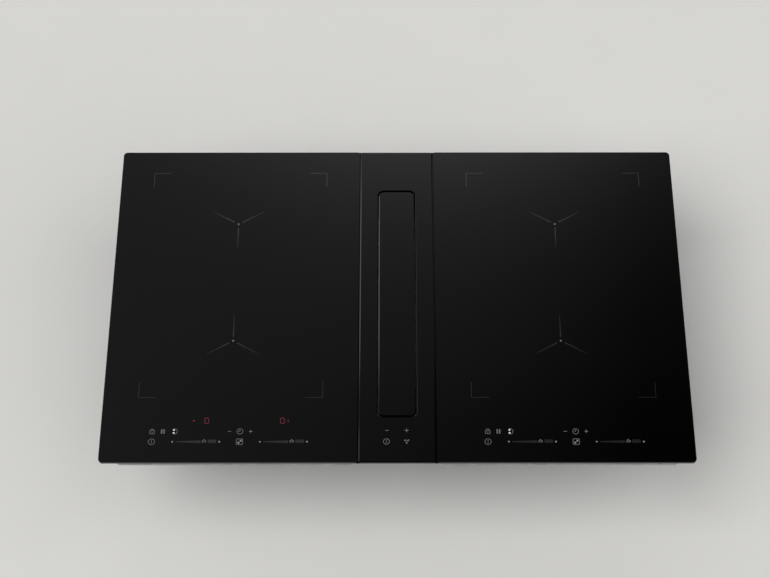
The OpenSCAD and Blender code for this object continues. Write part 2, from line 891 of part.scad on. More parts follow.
// Stainless basket: slotted walls with a rim that lies on the intake frame's ledge
module grease_filter() {
    color("#c3c6ca")
    difference() {
        union() {
            slab(2*(filter_x + filter_rim), 2*(filter_y + filter_rim), 5, ledge_z, ledge_z + rim_t);
            slab(2*filter_x, 2*filter_y, 4, filter_z + filter_t, ledge_z + eps);
        }
        slab(2*(filter_x - filter_t), 2*(filter_y - filter_t), 3, filter_z + filter_t - eps,
            ledge_z + rim_t + eps);
        filter_slot_places()
            block(-filter_x - 1, filter_x + 1, -slot_w/2, slot_w/2, filter_z + 6, ledge_z - 5);
    }
}

// Slotted sheet welded under the basket's walls
module filter_base() {
    color("#c3c6ca")
    difference() {
        slab(2*filter_x, 2*filter_y, 4, filter_z, filter_z + filter_t);
        filter_slot_places()
            for (s = [-1, 1])
                translate([s*(filter_x - 2)/2, 0, filter_z])
                    block(-filter_x/2 + 4, filter_x/2 - 4, -slot_w/2, slot_w/2, -1, filter_t + 1);
    }
}

module filter_slot_places() {
    pitch = 2*(filter_y - 8)/slot_count;
    for (i = [0:slot_count - 1])
        translate([0, (i - (slot_count - 1)/2)*pitch, 0])
            children();
}

// Grip bar across the basket, for lifting it out
module filter_handle() {
    inner_x = filter_x - filter_t;
    color("#d0d2d5") {
        for (s = [-1, 1])
            translate([-inner_x, s*grip_l/2, ledge_z - grip_r])
                rotate([0, 90, 0])
                    cylinder(r = grip_r, h = 2*inner_x, $fn = 24);
        rod_y(0, ledge_z - grip_r, grip_r, -grip_l/2, grip_l/2);
    }
}

// Hood module: air way

module shaft_screw_places() {
    for (s = [-1, 1], i = [-2.5, -0.5, 0.5, 2.5])
        translate([s*(flange_x - 4), i*rib_pitch, 0])
            children();
}

// Neck between the intake frame and the plenum, flanged at both ends
module air_shaft() {
    wall_x = shaft_x + housing_wall;
    wall_y = shaft_y + housing_wall;
    color("#2a2b2d")
    difference() {
        union() {
            slab(2*flange_x, 2*frame_y, 4, frame_z - shaft_flange_t, frame_z);
            slab(2*wall_x, 2*wall_y, 5, plenum_top, frame_z);
            slab(2*flange_x, 2*frame_y, 4, plenum_top, plenum_top + shaft_flange_t);
            for (i = [-3:3], s = [-1, 1])
                translate([s > 0 ? wall_x - 1 : -flange_x, i*rib_pitch - 1, plenum_top])
                    cube([flange_x - wall_x + 1, 2, frame_z - plenum_top]);
        }
        slab(2*shaft_x, 2*shaft_y, 3, plenum_top - eps, frame_z + eps);
        shaft_screw_places()
            translate([0, 0, plenum_top - 1])
                cylinder(r = screw_r, h = frame_z - plenum_top + 2, $fn = 24);
    }
}

module housing_screws() {
    color("#9a9da1") {
        shaft_screw_places()
            translate([0, 0, frame_z - shaft_flange_t])
                rotate([180, 0, 0])
                    screw(shaft_flange_t + 3);
        shaft_screw_places()
            translate([0, 0, plenum_top + shaft_flange_t])
                screw(shaft_flange_t + housing_wall);
        mount_screw_places()
            screw(motor_foot_t + 2);
    }
}

module mount_screw_places() {
    for (i = [0:2])
        rotate_about_blower(i*120 + 30)
            translate([motor_foot_r - 5, 0, blower_z + spigot_t + motor_foot_t])
                children();
}

module rotate_about_blower(a) {
    translate([blower_x, blower_y, 0])
        rotate(a)
            children();
}

module plenum_outline(inset) {
    translate([0, (wide_y0 + neck_lap - neck_y)/2])
        rounded_rect(2*(neck_x - inset), wide_y0 + neck_lap + neck_y - 2*inset, 6);
    translate([0, (wide_y0 + wide_y1)/2])
        rounded_rect(2*(wide_x - inset), wide_y1 - wide_y0 - 2*inset, wide_r);
    // Square back corners, which close the top of the blower's outlet
    translate([-wide_x + inset, wide_y1 - inset - 2*wide_r])
        square([2*(wide_x - inset), 2*wide_r]);
}

// Moulded chamber: narrow over the drip tray and wide over the blower
module plenum_housing() {
    color("#313235")
    difference() {
        translate([0, 0, plenum_z])
            linear_extrude(plenum_h)
                plenum_outline(0);
        translate([0, 0, plenum_z + housing_wall])
            linear_extrude(plenum_h - 2*housing_wall)
                plenum_outline(housing_wall);
        slab(2*shaft_x, 2*shaft_y, 3, plenum_top - housing_wall - eps, plenum_top + eps);
        rounded_box(-tray_x + 3, tray_x - 3, tray_y0 + 3, tray_y1 - 3, 4, plenum_z - eps,
            plenum_z + housing_wall + eps);
        translate([blower_x, blower_y, plenum_z - 1])
            cylinder(r = wheel_r, h = housing_wall + 2);
        shaft_screw_places()
            translate([0, 0, plenum_top])
                screw_hole();
    }
}

// Rounded nozzle that leads the air into the fan wheel
module inlet_ring() {
    lip_r = 4;
    throat = eye_r - 2;
    nozzle_l = 8;                             // reach into the wheel
    nozzle_t = 1.6;
    color("#44464a")
    translate([blower_x, blower_y, plenum_z])
        rotate_extrude() {
            translate([throat + lip_r, housing_wall])
                square([wheel_r + 6 - throat - lip_r, 2]);
            translate([throat, -nozzle_l])
                square([nozzle_t, nozzle_l + housing_wall + 2 - lip_r]);
            translate([throat + lip_r, housing_wall + 2 - lip_r])
                intersection() {
                    difference() {
                        circle(lip_r);
                        circle(lip_r - nozzle_t);
                    }
                    translate([-lip_r, 0])
                        square(lip_r);
                }
        }
}

// The scroll's radius grows from the tongue round to the outlet
function scroll_radius(a) = wheel_r + scroll_gap + scroll_growth*a/360;

function scroll(inset) =
    [for (a = [0:8:scroll_turn]) polar(scroll_radius(a) - inset, scroll_start + a)];

module scroll_outline(inset) {
    out_x = duct_w/2 - inset;
    right = scroll_radius(scroll_turn) - inset;
    tongue = polar(scroll_radius(0) - inset, scroll_start);
    translate([blower_x, blower_y])
        polygon(concat([[0, 0]], scroll(inset)));
    polygon([[blower_x, blower_y], [blower_x + right, blower_y], [out_x, spigot_y - 8],
        [out_x, spigot_y + (inset > 0 ? 1 : 0)], [-out_x, spigot_y + (inset > 0 ? 1 : 0)],
        [-out_x, spigot_y - 8], [blower_x + tongue[0], blower_y + tongue[1]]]);
}

// Spiral housing that opens into the flat duct
module blower_housing() {
    color("#313235")
    difference() {
        translate([0, 0, blower_z])
            linear_extrude(blower_h)
                scroll_outline(0);
        translate([0, 0, blower_z + spigot_t])
            linear_extrude(blower_h)
                scroll_outline(spigot_t);
        mount_screw_places()
            screw_hole();
    }
}

// A forward-curved blade between the radii of the wheel's ring
function blade(steps) =
    let (rs = [for (i = [0:steps]) eye_r + (wheel_r - 1 - eye_r)*i/steps])
    let (as = [for (i = [0:steps]) 13*pow(i/steps, 1.6)])
    concat([for (i = [0:steps]) polar(rs[i], as[i] - 36/rs[i])],
        [for (i = [steps:-1:0]) polar(rs[i], as[i] + 36/rs[i])]);

module fan_wheel() {
    plate_t = 1.6;
    color("#55585c")
    translate([blower_x, blower_y, 0]) {
        difference() {
            translate([0, 0, wheel_z])
                cylinder(r = wheel_r, h = plate_t);
            translate([0, 0, wheel_z - 1])
                cylinder(r = can_r + snug, h = plate_t + 2);
        }
        translate([0, 0, wheel_top - plate_t])
            difference() {
                cylinder(r = wheel_r, h = plate_t);
                translate([0, 0, -1])
                    cylinder(r = eye_r + 3, h = plate_t + 2);
            }
        for (i = [0:wheel_blades - 1])
            rotate(i*360/wheel_blades)
                translate([0, 0, wheel_z + plate_t - eps])
                    linear_extrude(wheel_top - wheel_z - 2*plate_t + 2*eps)
                        polygon(blade(4));
    }
}

// The motor's turning can, closed at the top, with its shaft
module motor_rotor() {
    can_h = 30;
    color("#9a9da1")
    translate([blower_x, blower_y, 0]) {
        difference() {
            translate([0, 0, wheel_z - 2])
                cylinder(r = can_r, h = can_h);
            translate([0, 0, wheel_z - 3])
                cylinder(r = can_r - can_t, h = can_h - can_t + 1);
        }
        // Collar under the wheel's plate
        difference() {
            translate([0, 0, wheel_z - 2])
                cylinder(r = can_r + 3, h = 2);
            translate([0, 0, wheel_z - 3])
                cylinder(r = can_r - 1, h = 4);
        }
        translate([0, 0, blower_z + spigot_t + 2])
            cylinder(r = shaft_r, h = wheel_z - 2 + can_h - blower_z - spigot_t - 3);
    }
}

module motor_stator() {
    foot_z = blower_z + spigot_t + motor_foot_t;
    core_r = 10;
    pole_h = 18;
    color("#7c7f83")
    translate([blower_x, blower_y, 0])
    difference() {
        union() {
            translate([0, 0, foot_z])
                cylinder(r = can_r - 4, h = 3);
            translate([0, 0, foot_z + 3 - eps])
                cylinder(r = core_r, h = wheel_z + pole_h + 4 - foot_z - 3);
            for (i = [0:5])
                rotate(i*60)
                    translate([core_r - 3, -core_r/2, wheel_z + 3])
                        cube([stator_r - core_r + 2, core_r, pole_h]);
        }
        translate([0, 0, foot_z - 1])
            cylinder(r = shaft_r + run, h = blower_h);
    }
}

module motor_mount() {
    color("#b9bcc0")
    difference() {
        translate([blower_x, blower_y, blower_z + spigot_t])
            cylinder(r = motor_foot_r, h = motor_foot_t);
        translate([blower_x, blower_y, blower_z])
            cylinder(r = shaft_r + 2, h = 10);
        mount_screw_places()
            screw_hole();
    }
}

// Flat duct spigot with the flange that closes the blower's back
module outlet_spigot() {
    z0 = blower_z + 0.5;
    color("#3a3b3e")
    translate([0, 0, z0 + duct_h/2])
    difference() {
        union() {
            along_y(spigot_y, spigot_y + 2.5)
                rounded_rect(duct_w + 2*spigot_flange, duct_h + spigot_flange, 5);
            along_y(spigot_y, spigot_y + spigot_l)
                rounded_rect(duct_w, duct_h, 4);
        }
        along_y(spigot_y - 1, spigot_y + spigot_l + 1)
            rounded_rect(duct_w - 2*spigot_t, duct_h - 2*spigot_t, 3);
    }
}

// Removable tray under the air way: it catches what drips or spills through the filter
module drip_tray() {
    rim_z = plenum_z - tray_seal_t;
    color("#d6d8da")
    difference() {
        rounded_box(-tray_x, tray_x, tray_y0, tray_y1, 7, rim_z - tray_depth, rim_z);
        rounded_box(-tray_x + tray_t, tray_x - tray_t, tray_y0 + tray_t, tray_y1 - tray_t, 5,
            rim_z - tray_depth + tray_t, rim_z + eps);
    }
}

module tray_seal() {
    color("#1c1c1e")
    difference() {
        rounded_box(-tray_x, tray_x, tray_y0, tray_y1, 7, plenum_z - tray_seal_t, plenum_z);
        rounded_box(-tray_x + 2.5, tray_x - 2.5, tray_y0 + 2.5, tray_y1 - 2.5, 5,
            plenum_z - tray_seal_t - eps, plenum_z + eps);
    }
}

// Spring leaves that grip the tray's sides
module tray_clips() {
    foot = 6;
    flare = 2;                                // the leaves' ends turn out below the tray
    mid = (tray_y0 + tray_y1)/2;
    x0 = tray_x + free;
    bend_z = plenum_z - tray_depth + flare;
    color("#b9bcc0")
    for (s = [-1, 1], i = [-1, 1])
        translate([0, mid + i*clip_pitch/2, 0])
            mirror([s < 0 ? 1 : 0, 0, 0])
                along_y(-clip_w/2, clip_w/2)
                    polygon([[x0, plenum_z], [x0 + foot, plenum_z], [x0 + foot, plenum_z - clip_t],
                        [x0 + clip_t, plenum_z - clip_t], [x0 + clip_t, bend_z],
                        [x0 + clip_t + flare, bend_z - 2*flare], [x0 + flare, bend_z - 2*flare],
                        [x0, bend_z]]);
}

// Box for the hood's control electronics, beside the narrow part of the plenum
module control_box() {
    z0 = plenum_z + 2;
    color("#3a3b3e")
    difference() {
        rounded_box(box_x, box_x + box_w, box_y0, box_y1, 4, z0, plenum_top);
        rounded_box(box_x + box_t, box_x + box_w - box_t, box_y0 + box_t, box_y1 - box_t, 3,
            z0 - eps, plenum_top - box_t);
        translate([box_x + box_w/2, 0, (z0 + plenum_top)/2])
            along_y(box_y0 - 1, box_y0 + box_t + 1)
                circle(gland_r - 2);
    }
}

module control_box_lid() {
    z0 = plenum_z + 2;
    color("#44464a")
    difference() {
        rounded_box(box_x, box_x + box_w, box_y0, box_y1, 4, plenum_z, z0);
        for (i = [-3:3])
            translate([box_x + box_w/2, (box_y0 + box_y1)/2 + i*12, plenum_z - eps])
                linear_extrude(3)
                    slot(box_w - 20, 3);
    }
}

// Screwed gland for the mains lead
module cable_gland() {
    x = box_x + box_w/2;
    z = (plenum_z + 2 + plenum_top)/2;
    color("#2d2e31")
    difference() {
        union() {
            rod_y(x, z, gland_r - 2 - snug, box_y0 - eps, box_y0 + box_t + gland_end);
            rod_y(x, z, gland_r, box_y0 - gland_flange_l, box_y0);
            translate([x, box_y0 - gland_flange_l + eps, z])
                rotate([90, 0, 0])
                    cylinder(r = gland_r - 0.5, h = gland_nut_l, $fn = 6);
        }
        rod_y(x, z, gland_bore_r, box_y0 - gland_flange_l - gland_nut_l - 1,
            box_y0 + box_t + gland_end + 1);
    }
}

worktop_seal();
hob_glass(-1);  // left_hob_glass
hob_glass(1);  // right_hob_glass
hood_glass();
seam_strips();
join_rails();
casing_screws();
fixing_brackets();
casing(-1);  // left_casing
insulation(-1);  // left_insulation
coils(-1);  // left_coils
ferrites(-1);  // left_ferrites
coil_plate(-1);  // left_coil_plate
sensors(-1);  // left_sensors
power_board(-1);  // left_power_board
heat_sink(-1);  // left_heat_sink
fan_frame(-1);  // left_fan_frame
fan_rotor(-1);  // left_fan_rotor
touch_board(-1);  // left_touch_board
casing(1);  // right_casing
insulation(1);  // right_insulation
coils(1);  // right_coils
ferrites(1);  // right_ferrites
coil_plate(1);  // right_coil_plate
sensors(1);  // right_sensors
power_board(1);  // right_power_board
heat_sink(1);  // right_heat_sink
fan_frame(1);  // right_fan_frame
fan_rotor(1);  // right_fan_rotor
touch_board(1);  // right_touch_board
flap_glass();
flap_carrier();
flap_front_pin();
flap_gear_shaft();
flap_bushes();
intake_frame();
flap_pinion();
flap_motor();
motor_bracket();
hood_touch_board();
grease_filter();
filter_base();
filter_handle();
air_shaft();
housing_screws();
plenum_housing();
inlet_ring();
blower_housing();
fan_wheel();
motor_rotor();
motor_stator();
motor_mount();
outlet_spigot();
drip_tray();
tray_seal();
tray_clips();
control_box();
control_box_lid();
cable_gland();
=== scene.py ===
import bpy
import bmesh
from math import cos, sin, pi, radians
from mathutils import Matrix, Vector


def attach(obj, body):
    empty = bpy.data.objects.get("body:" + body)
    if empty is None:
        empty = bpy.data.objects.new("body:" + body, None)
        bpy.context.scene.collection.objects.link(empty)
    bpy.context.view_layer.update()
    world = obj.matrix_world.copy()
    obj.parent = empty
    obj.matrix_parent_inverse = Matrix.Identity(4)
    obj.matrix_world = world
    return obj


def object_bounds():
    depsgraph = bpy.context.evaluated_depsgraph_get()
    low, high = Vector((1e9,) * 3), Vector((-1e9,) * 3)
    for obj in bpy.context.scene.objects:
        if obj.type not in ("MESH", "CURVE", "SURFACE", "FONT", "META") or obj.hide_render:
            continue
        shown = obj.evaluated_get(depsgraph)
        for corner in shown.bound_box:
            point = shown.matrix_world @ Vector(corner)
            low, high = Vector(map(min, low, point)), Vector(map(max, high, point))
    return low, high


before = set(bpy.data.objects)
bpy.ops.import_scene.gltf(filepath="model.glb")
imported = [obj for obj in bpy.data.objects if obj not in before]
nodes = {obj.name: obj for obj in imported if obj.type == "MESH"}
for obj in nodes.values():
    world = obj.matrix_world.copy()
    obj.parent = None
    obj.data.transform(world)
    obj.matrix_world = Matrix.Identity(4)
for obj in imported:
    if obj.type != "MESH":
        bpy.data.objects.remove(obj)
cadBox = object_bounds()
mm = 0.001  # sizes are in millimetres where no other unit is named, and this turns them to metres
near = 0.01  # how far off a line a corner may lie and still count as on it
print("frame loaded:", len(nodes), "nodes")


# small helpers

def linearOf(hexCode):
    # sRGB hex to the linear values that Blender works in
    parts = [int(hexCode[i:i + 2], 16) / 255 for i in (1, 3, 5)]
    return [c / 12.92 if c <= 0.04045 else ((c + 0.055) / 1.055) ** 2.4 for c in parts] + [1.0]


def addNode(tree, kind, settings=None, links=None):
    # words in small letters are the node's own settings, the rest are its sockets
    # a mix has its share in socket 0, and two numbers in 2 and 3, or two colours in 6 and 7 and output 2
    node = tree.nodes.new(kind)
    for key, value in (settings or {}).items():
        if isinstance(key, str) and key[0].islower():
            setattr(node, key, value)
        else:
            node.inputs[key].default_value = value
    for key, source in (links or {}).items():
        tree.links.new(source, node.inputs[key])
    return node


def startMaterial(name, hexCode, roughness, metallic=0.0, ior=None):
    material = bpy.data.materials.new(name)
    material.use_nodes = True
    tree = material.node_tree
    shader = tree.nodes["Principled BSDF"]
    shader.inputs["Base Color"].default_value = linearOf(hexCode)
    shader.inputs["Metallic"].default_value = metallic
    shader.inputs["Roughness"].default_value = roughness
    if ior:
        shader.inputs["IOR"].default_value = ior
    place = addNode(tree, "ShaderNodeTexCoord").outputs["Object"]
    return material, tree, shader, place


def clearSelection():
    if bpy.context.object and bpy.context.object.mode != "OBJECT":
        bpy.ops.object.mode_set(mode="OBJECT")
    bpy.ops.object.select_all(action="DESELECT")


def editAll(piece):
    # opens a piece in edit mode with all of it selected
    clearSelection()
    piece.select_set(True)
    bpy.context.view_layer.objects.active = piece
    bpy.ops.object.mode_set(mode="EDIT")
    bpy.ops.mesh.select_all(action="SELECT")


def placeInMesh(piece):
    # the object goes back to the origin, and its place stays in its mesh
    clearSelection()
    piece.select_set(True)
    bpy.context.view_layer.objects.active = piece
    bpy.ops.object.transform_apply(location=True, rotation=True, scale=True)
    return piece


def selectVerts(piece, test):
    # in edit mode, picks the corners that pass a test on their place
    mesh = bmesh.from_edit_mesh(piece.data)
    for vert in mesh.verts:
        vert.select = False
    for face in mesh.faces:
        face.select = False
    for vert in mesh.verts:
        vert.select = bool(test(vert.co))
    mesh.select_flush(True)
    bmesh.update_edit_mesh(piece.data)


def copyOf(piece, shift=(0, 0, 0), turn=0.0, about=(0, 0), mirror=None):
    # a copy with its own mesh, turned about a point, mirrored, then moved
    twin = piece.copy()
    twin.data = piece.data.copy()
    bpy.context.collection.objects.link(twin)
    centre = Matrix.Translation((about[0], about[1], 0))
    change = centre @ Matrix.Rotation(turn, 4, "Z")
    if mirror == "x":
        change = change @ Matrix.Diagonal((-1, 1, 1, 1))
    if mirror == "y":
        change = change @ Matrix.Diagonal((1, -1, 1, 1))
    change = Matrix.Translation(shift) @ change @ centre.inverted()
    twin.matrix_world = change
    return placeInMesh(twin)


def joinAll(name, parts):
    clearSelection()
    for part in parts:
        part.select_set(True)
    bpy.context.view_layer.objects.active = parts[0]
    if len(parts) > 1:
        bpy.ops.object.join()
    piece = bpy.context.object
    piece.name = name
    piece.data.name = name
    return placeInMesh(piece)


def turnFacesOut():
    # turns all faces of the piece in edit mode outwards, and leaves edit mode
    bpy.ops.mesh.select_all(action="SELECT")
    bpy.ops.mesh.normals_make_consistent(inside=False)
    bpy.ops.object.mode_set(mode="OBJECT")


def finishPiece(piece, material, body):
    piece.data.materials.clear()
    piece.data.materials.append(material)
    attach(piece, body)
    return piece


# camera, fitted to the four corners of the glass: its place is in metres and its angles in degrees

view = {"place": (-0.0090, -1.3849, 2.3914), "heading": 0.337, "down": 59.531, "roll": -0.322,
        "lens": 88.69, "sensor": 36}
camera = bpy.data.objects.new("camera", bpy.data.cameras.new("camera"))
bpy.context.collection.objects.link(camera)
camera.data.lens = view["lens"]
camera.data.sensor_width = view["sensor"]
camera.data.sensor_fit = "HORIZONTAL"
camera.matrix_world = (Matrix.Translation(view["place"])
                       @ Matrix.Rotation(radians(view["heading"]), 4, "Z")
                       @ Matrix.Rotation(pi / 2 - radians(view["down"]), 4, "X")
                       @ Matrix.Rotation(radians(view["roll"]), 4, "Z"))
bpy.context.scene.camera = camera
bpy.context.scene.view_settings.view_transform = "Standard"


# the room that the glass mirrors: a pale horizon under a dark ceiling, with a soft glow behind

room = {"ceilingLeft": 0.26, "ceilingRight": 0.01, "leftX": -0.193, "rightX": 0.132,
        "glow": 0.6078, "glowX": 0.0199, "glowWidth": 0.1125, "glowTop": 0.82, "glowFade": 0.0264,
        "horizon": 0.80, "horizonSlope": -0.18, "darkCorners": 0.9, "blend": (0.05, 0.36),
        "windowX": 0.3, "white": "#FDFEFF"}
# each edge says along which axis a level ends, where it is shut and where it is fully open
ceilingEdges = [("Y", -0.35, 0.2)]
glowEdges = [("Y", 0.425, 0.475)]
cornerEdges = [("far", 0.74, 0.84), ("Y", 0.30, 0.44)]
# a window on the left with a glazing bar, and its fainter light on the right
windows = [{"left": 1.45, "right": 0.14,
            "edges": [("far", 0.58, 0.70), ("Y", 0.452, 0.488), ("Y", 0.58, 0.54), ("Z", 0.60, 0.45)]},
           {"left": 0.7, "right": 0.0,
            "edges": [("far", 0.58, 0.70), ("Y", 0.30, 0.38), ("Y", 0.448, 0.434)]}]
world = bpy.data.worlds.new("paleRoom")
bpy.context.scene.world = world
world.use_nodes = True
tree = world.node_tree
direction = addNode(tree, "ShaderNodeTexCoord").outputs["Generated"]
split = addNode(tree, "ShaderNodeSeparateXYZ", links={0: direction}).outputs
sideways = addNode(tree, "ShaderNodeMath", {"operation": "ABSOLUTE"}, {0: split["X"]})
# "far" is how far a direction points to either side
axes = {"X": split["X"], "Y": split["Y"], "Z": split["Z"], "far": sideways.outputs[0]}


def addPatch(level, edges):
    # a level in the room times a soft edge for each way in which it ends
    for axis, shut, wide in edges:
        edge = addNode(tree, "ShaderNodeMapRange",
                       {"interpolation_type": "SMOOTHSTEP", "From Min": min(shut, wide),
                        "From Max": max(shut, wide), "To Min": float(shut > wide),
                        "To Max": float(shut < wide)}, {"Value": axes[axis]})
        level = addNode(tree, "ShaderNodeMath", {"operation": "MULTIPLY"},
                        {0: level.outputs[0], 1: edge.outputs[0]})
    return level


# the glow is a soft hump across the room that fades upwards and is never paler than the horizon
across = addNode(tree, "ShaderNodeMath", {"operation": "MULTIPLY_ADD", 1: 1 / room["glowWidth"],
                                          2: -room["glowX"] / room["glowWidth"]}, {0: axes["X"]})
acrossSquare = addNode(tree, "ShaderNodeMath", {"operation": "MULTIPLY"},
                       {0: across.outputs[0], 1: across.outputs[0]})
upward = addNode(tree, "ShaderNodeMath", {"operation": "MULTIPLY_ADD", 1: 1 / room["glowFade"],
                                          2: -room["glowTop"] / room["glowFade"]}, {0: axes["Z"]})
falloff = addNode(tree, "ShaderNodeMath", {"operation": "ADD"},
                  {0: acrossSquare.outputs[0], 1: upward.outputs[0]})
falloff = addNode(tree, "ShaderNodeMath", {"operation": "MULTIPLY", 1: -1.0}, {0: falloff.outputs[0]})
glow = addNode(tree, "ShaderNodeMath", {"operation": "EXPONENT"}, {0: falloff.outputs[0]})
glow = addNode(tree, "ShaderNodeMath", {"operation": "MULTIPLY", 1: room["glow"]}, {0: glow.outputs[0]})
glow = addNode(tree, "ShaderNodeMath", {"operation": "MINIMUM", 1: room["horizon"]}, {0: glow.outputs[0]})
glow = addPatch(glow, glowEdges)
ceiling = addNode(tree, "ShaderNodeMapRange",
                  {"From Min": room["leftX"], "From Max": room["rightX"],
                   "To Min": room["ceilingLeft"], "To Max": room["ceilingRight"]}, {"Value": axes["X"]})
ceiling = addPatch(ceiling, ceilingEdges)
sky = addNode(tree, "ShaderNodeMath", {"operation": "ADD"}, {0: ceiling.outputs[0], 1: glow.outputs[0]})
for window in windows:
    light = addNode(tree, "ShaderNodeMapRange",
                    {"From Min": -room["windowX"], "From Max": room["windowX"],
                     "To Min": window["left"], "To Max": window["right"]}, {"Value": axes["X"]})
    light = addPatch(light, window["edges"])
    sky = addNode(tree, "ShaderNodeMath", {"operation": "ADD"}, {0: sky.outputs[0], 1: light.outputs[0]})
horizon = addNode(tree, "ShaderNodeMath",
                  {"operation": "MULTIPLY_ADD", 1: room["horizonSlope"], 2: room["horizon"]},
                  {0: axes["X"]})
shade = addNode(tree, "ShaderNodeMath", {"operation": "MULTIPLY", 1: room["darkCorners"]},
                {0: horizon.outputs[0]})
shade = addPatch(shade, cornerEdges)
horizon = addNode(tree, "ShaderNodeMath", {"operation": "SUBTRACT"},
                  {0: horizon.outputs[0], 1: shade.outputs[0]})
height = addNode(tree, "ShaderNodeMapRange",
                 {"interpolation_type": "SMOOTHSTEP", "From Min": room["blend"][0],
                  "From Max": room["blend"][1]}, {"Value": axes["Z"]})
roomLevel = addNode(tree, "ShaderNodeMix", {"data_type": "FLOAT"},
                    {0: height.outputs[0], 2: horizon.outputs[0], 3: sky.outputs[0]})
tree.links.new(roomLevel.outputs[0], tree.nodes["Background"].inputs["Strength"])
tree.nodes["Background"].inputs["Color"].default_value = linearOf(room["white"])


# lamps: two wide soft suns, so that the floor is lit evenly everywhere

lamps = [{"name": "keySun", "from": (-0.55, -0.35, 1.0), "angle": 50, "strength": 2.0},
         {"name": "fillSun", "from": (0.75, -0.45, 0.9), "angle": 75, "strength": 1.27}]
for lamp in lamps:
    sun = bpy.data.objects.new(lamp["name"], bpy.data.lights.new(lamp["name"], "SUN"))
    bpy.context.collection.objects.link(sun)
    sun.data.angle = radians(lamp["angle"])
    sun.data.energy = lamp["strength"]
    sun.rotation_euler = Vector(lamp["from"]).to_track_quat("Z", "Y").to_euler()
    sun.visible_glossy = False


# floor

floorLook = {"metres": 40, "colour": "#D6D5D2", "darker": "#D5D4D1", "paler": "#D8D7D4", "roughness": 0.7,
             "shine": 0.2, "mottlesPerMetre": 9.0}
clearSelection()
bpy.ops.mesh.primitive_plane_add(size=floorLook["metres"], location=(0, 0, cadBox[0][2]))
floor = bpy.context.object
floor.name = "floor"
material, tree, shader, place = startMaterial("paleLaminateFloor", floorLook["colour"],
                                              roughness=floorLook["roughness"])
mottle = addNode(tree, "ShaderNodeTexNoise", {"Scale": floorLook["mottlesPerMetre"], "Detail": 3.0},
                 {"Vector": place})
tone = addNode(tree, "ShaderNodeMix", {"data_type": "RGBA", 6: linearOf(floorLook["darker"]),
                                       7: linearOf(floorLook["paler"])}, {0: mottle.outputs[0]})
tree.links.new(tone.outputs[2], shader.inputs["Base Color"])
shader.inputs["Specular IOR Level"].default_value = floorLook["shine"]
floor.data.materials.append(material)
print("camera, room and floor done")


# finishes

def glassCeramicFinish():
    # glass-ceramic, rolled and fire polished: nearly black, it shows the room as a dark mirror
    look = {"colour": "#020202", "clean": 0.035, "wiped": 0.065, "wipeSize": 70, "wipeFrom": 0.35,
            "wipeTo": 0.7, "groundX": 28.3, "groundHalfWide": 0.5, "groundHalfLong": 187, "ground": 0.27}
    material, tree, shader, place = startMaterial("blackGlassCeramic", look["colour"],
                                                  roughness=look["clean"], ior=1.5)
    wipes = addNode(tree, "ShaderNodeTexNoise",
                    {"Scale": 1 / (look["wipeSize"] * mm), "Detail": 4.0, "Distortion": 0.6},
                    {"Vector": place})
    rough = addNode(tree, "ShaderNodeMapRange",
                    {"From Min": look["wipeFrom"], "From Max": look["wipeTo"],
                     "To Min": look["clean"], "To Max": look["wiped"]}, {"Value": wipes.outputs[0]})
    # the opening's right edge is left satin from grinding, and mirrors the window only dimly
    axes = addNode(tree, "ShaderNodeSeparateXYZ", links={0: place}).outputs
    across = addNode(tree, "ShaderNodeMath", {"operation": "COMPARE", 1: look["groundX"] * mm,
                                              2: look["groundHalfWide"] * mm}, {0: axes["X"]})
    along = addNode(tree, "ShaderNodeMath", {"operation": "COMPARE", 1: 0.0,
                                             2: look["groundHalfLong"] * mm}, {0: axes["Y"]})
    isGround = addNode(tree, "ShaderNodeMath", {"operation": "MULTIPLY"},
                       {0: across.outputs[0], 1: along.outputs[0]})
    rough = addNode(tree, "ShaderNodeMath", {"operation": "MULTIPLY_ADD", 1: look["ground"]},
                    {0: isGround.outputs[0], 2: rough.outputs[0]})
    tree.links.new(rough.outputs[0], shader.inputs["Roughness"])
    return material


def rubberFinish():
    # extruded EPDM foam seal: matt, with the pits of its skin, drawn coarser than real so as to show; its
    # near-black colour is darker than the foam itself, painted shade of the recess it lies in
    look = {"colour": "#0C0C0D", "worn": "#151516", "pit": 1.2, "depth": 0.3, "shine": 0.15}
    material, tree, shader, place = startMaterial("foamRubberSeal", look["colour"], roughness=0.8, ior=1.52)
    pits = addNode(tree, "ShaderNodeTexNoise", {"Scale": 1 / (look["pit"] * mm), "Detail": 2.0},
                   {"Vector": place})
    tone = addNode(tree, "ShaderNodeMix", {"data_type": "RGBA", 6: linearOf(look["colour"]),
                                           7: linearOf(look["worn"])}, {0: pits.outputs[0]})
    relief = addNode(tree, "ShaderNodeBump", {"Strength": 0.6, "Distance": look["depth"] * mm},
                     {"Height": pits.outputs[0]})
    tree.links.new(tone.outputs[2], shader.inputs["Base Color"])
    tree.links.new(relief.outputs[0], shader.inputs["Normal"])
    shader.inputs["Specular IOR Level"].default_value = look["shine"]
    return material


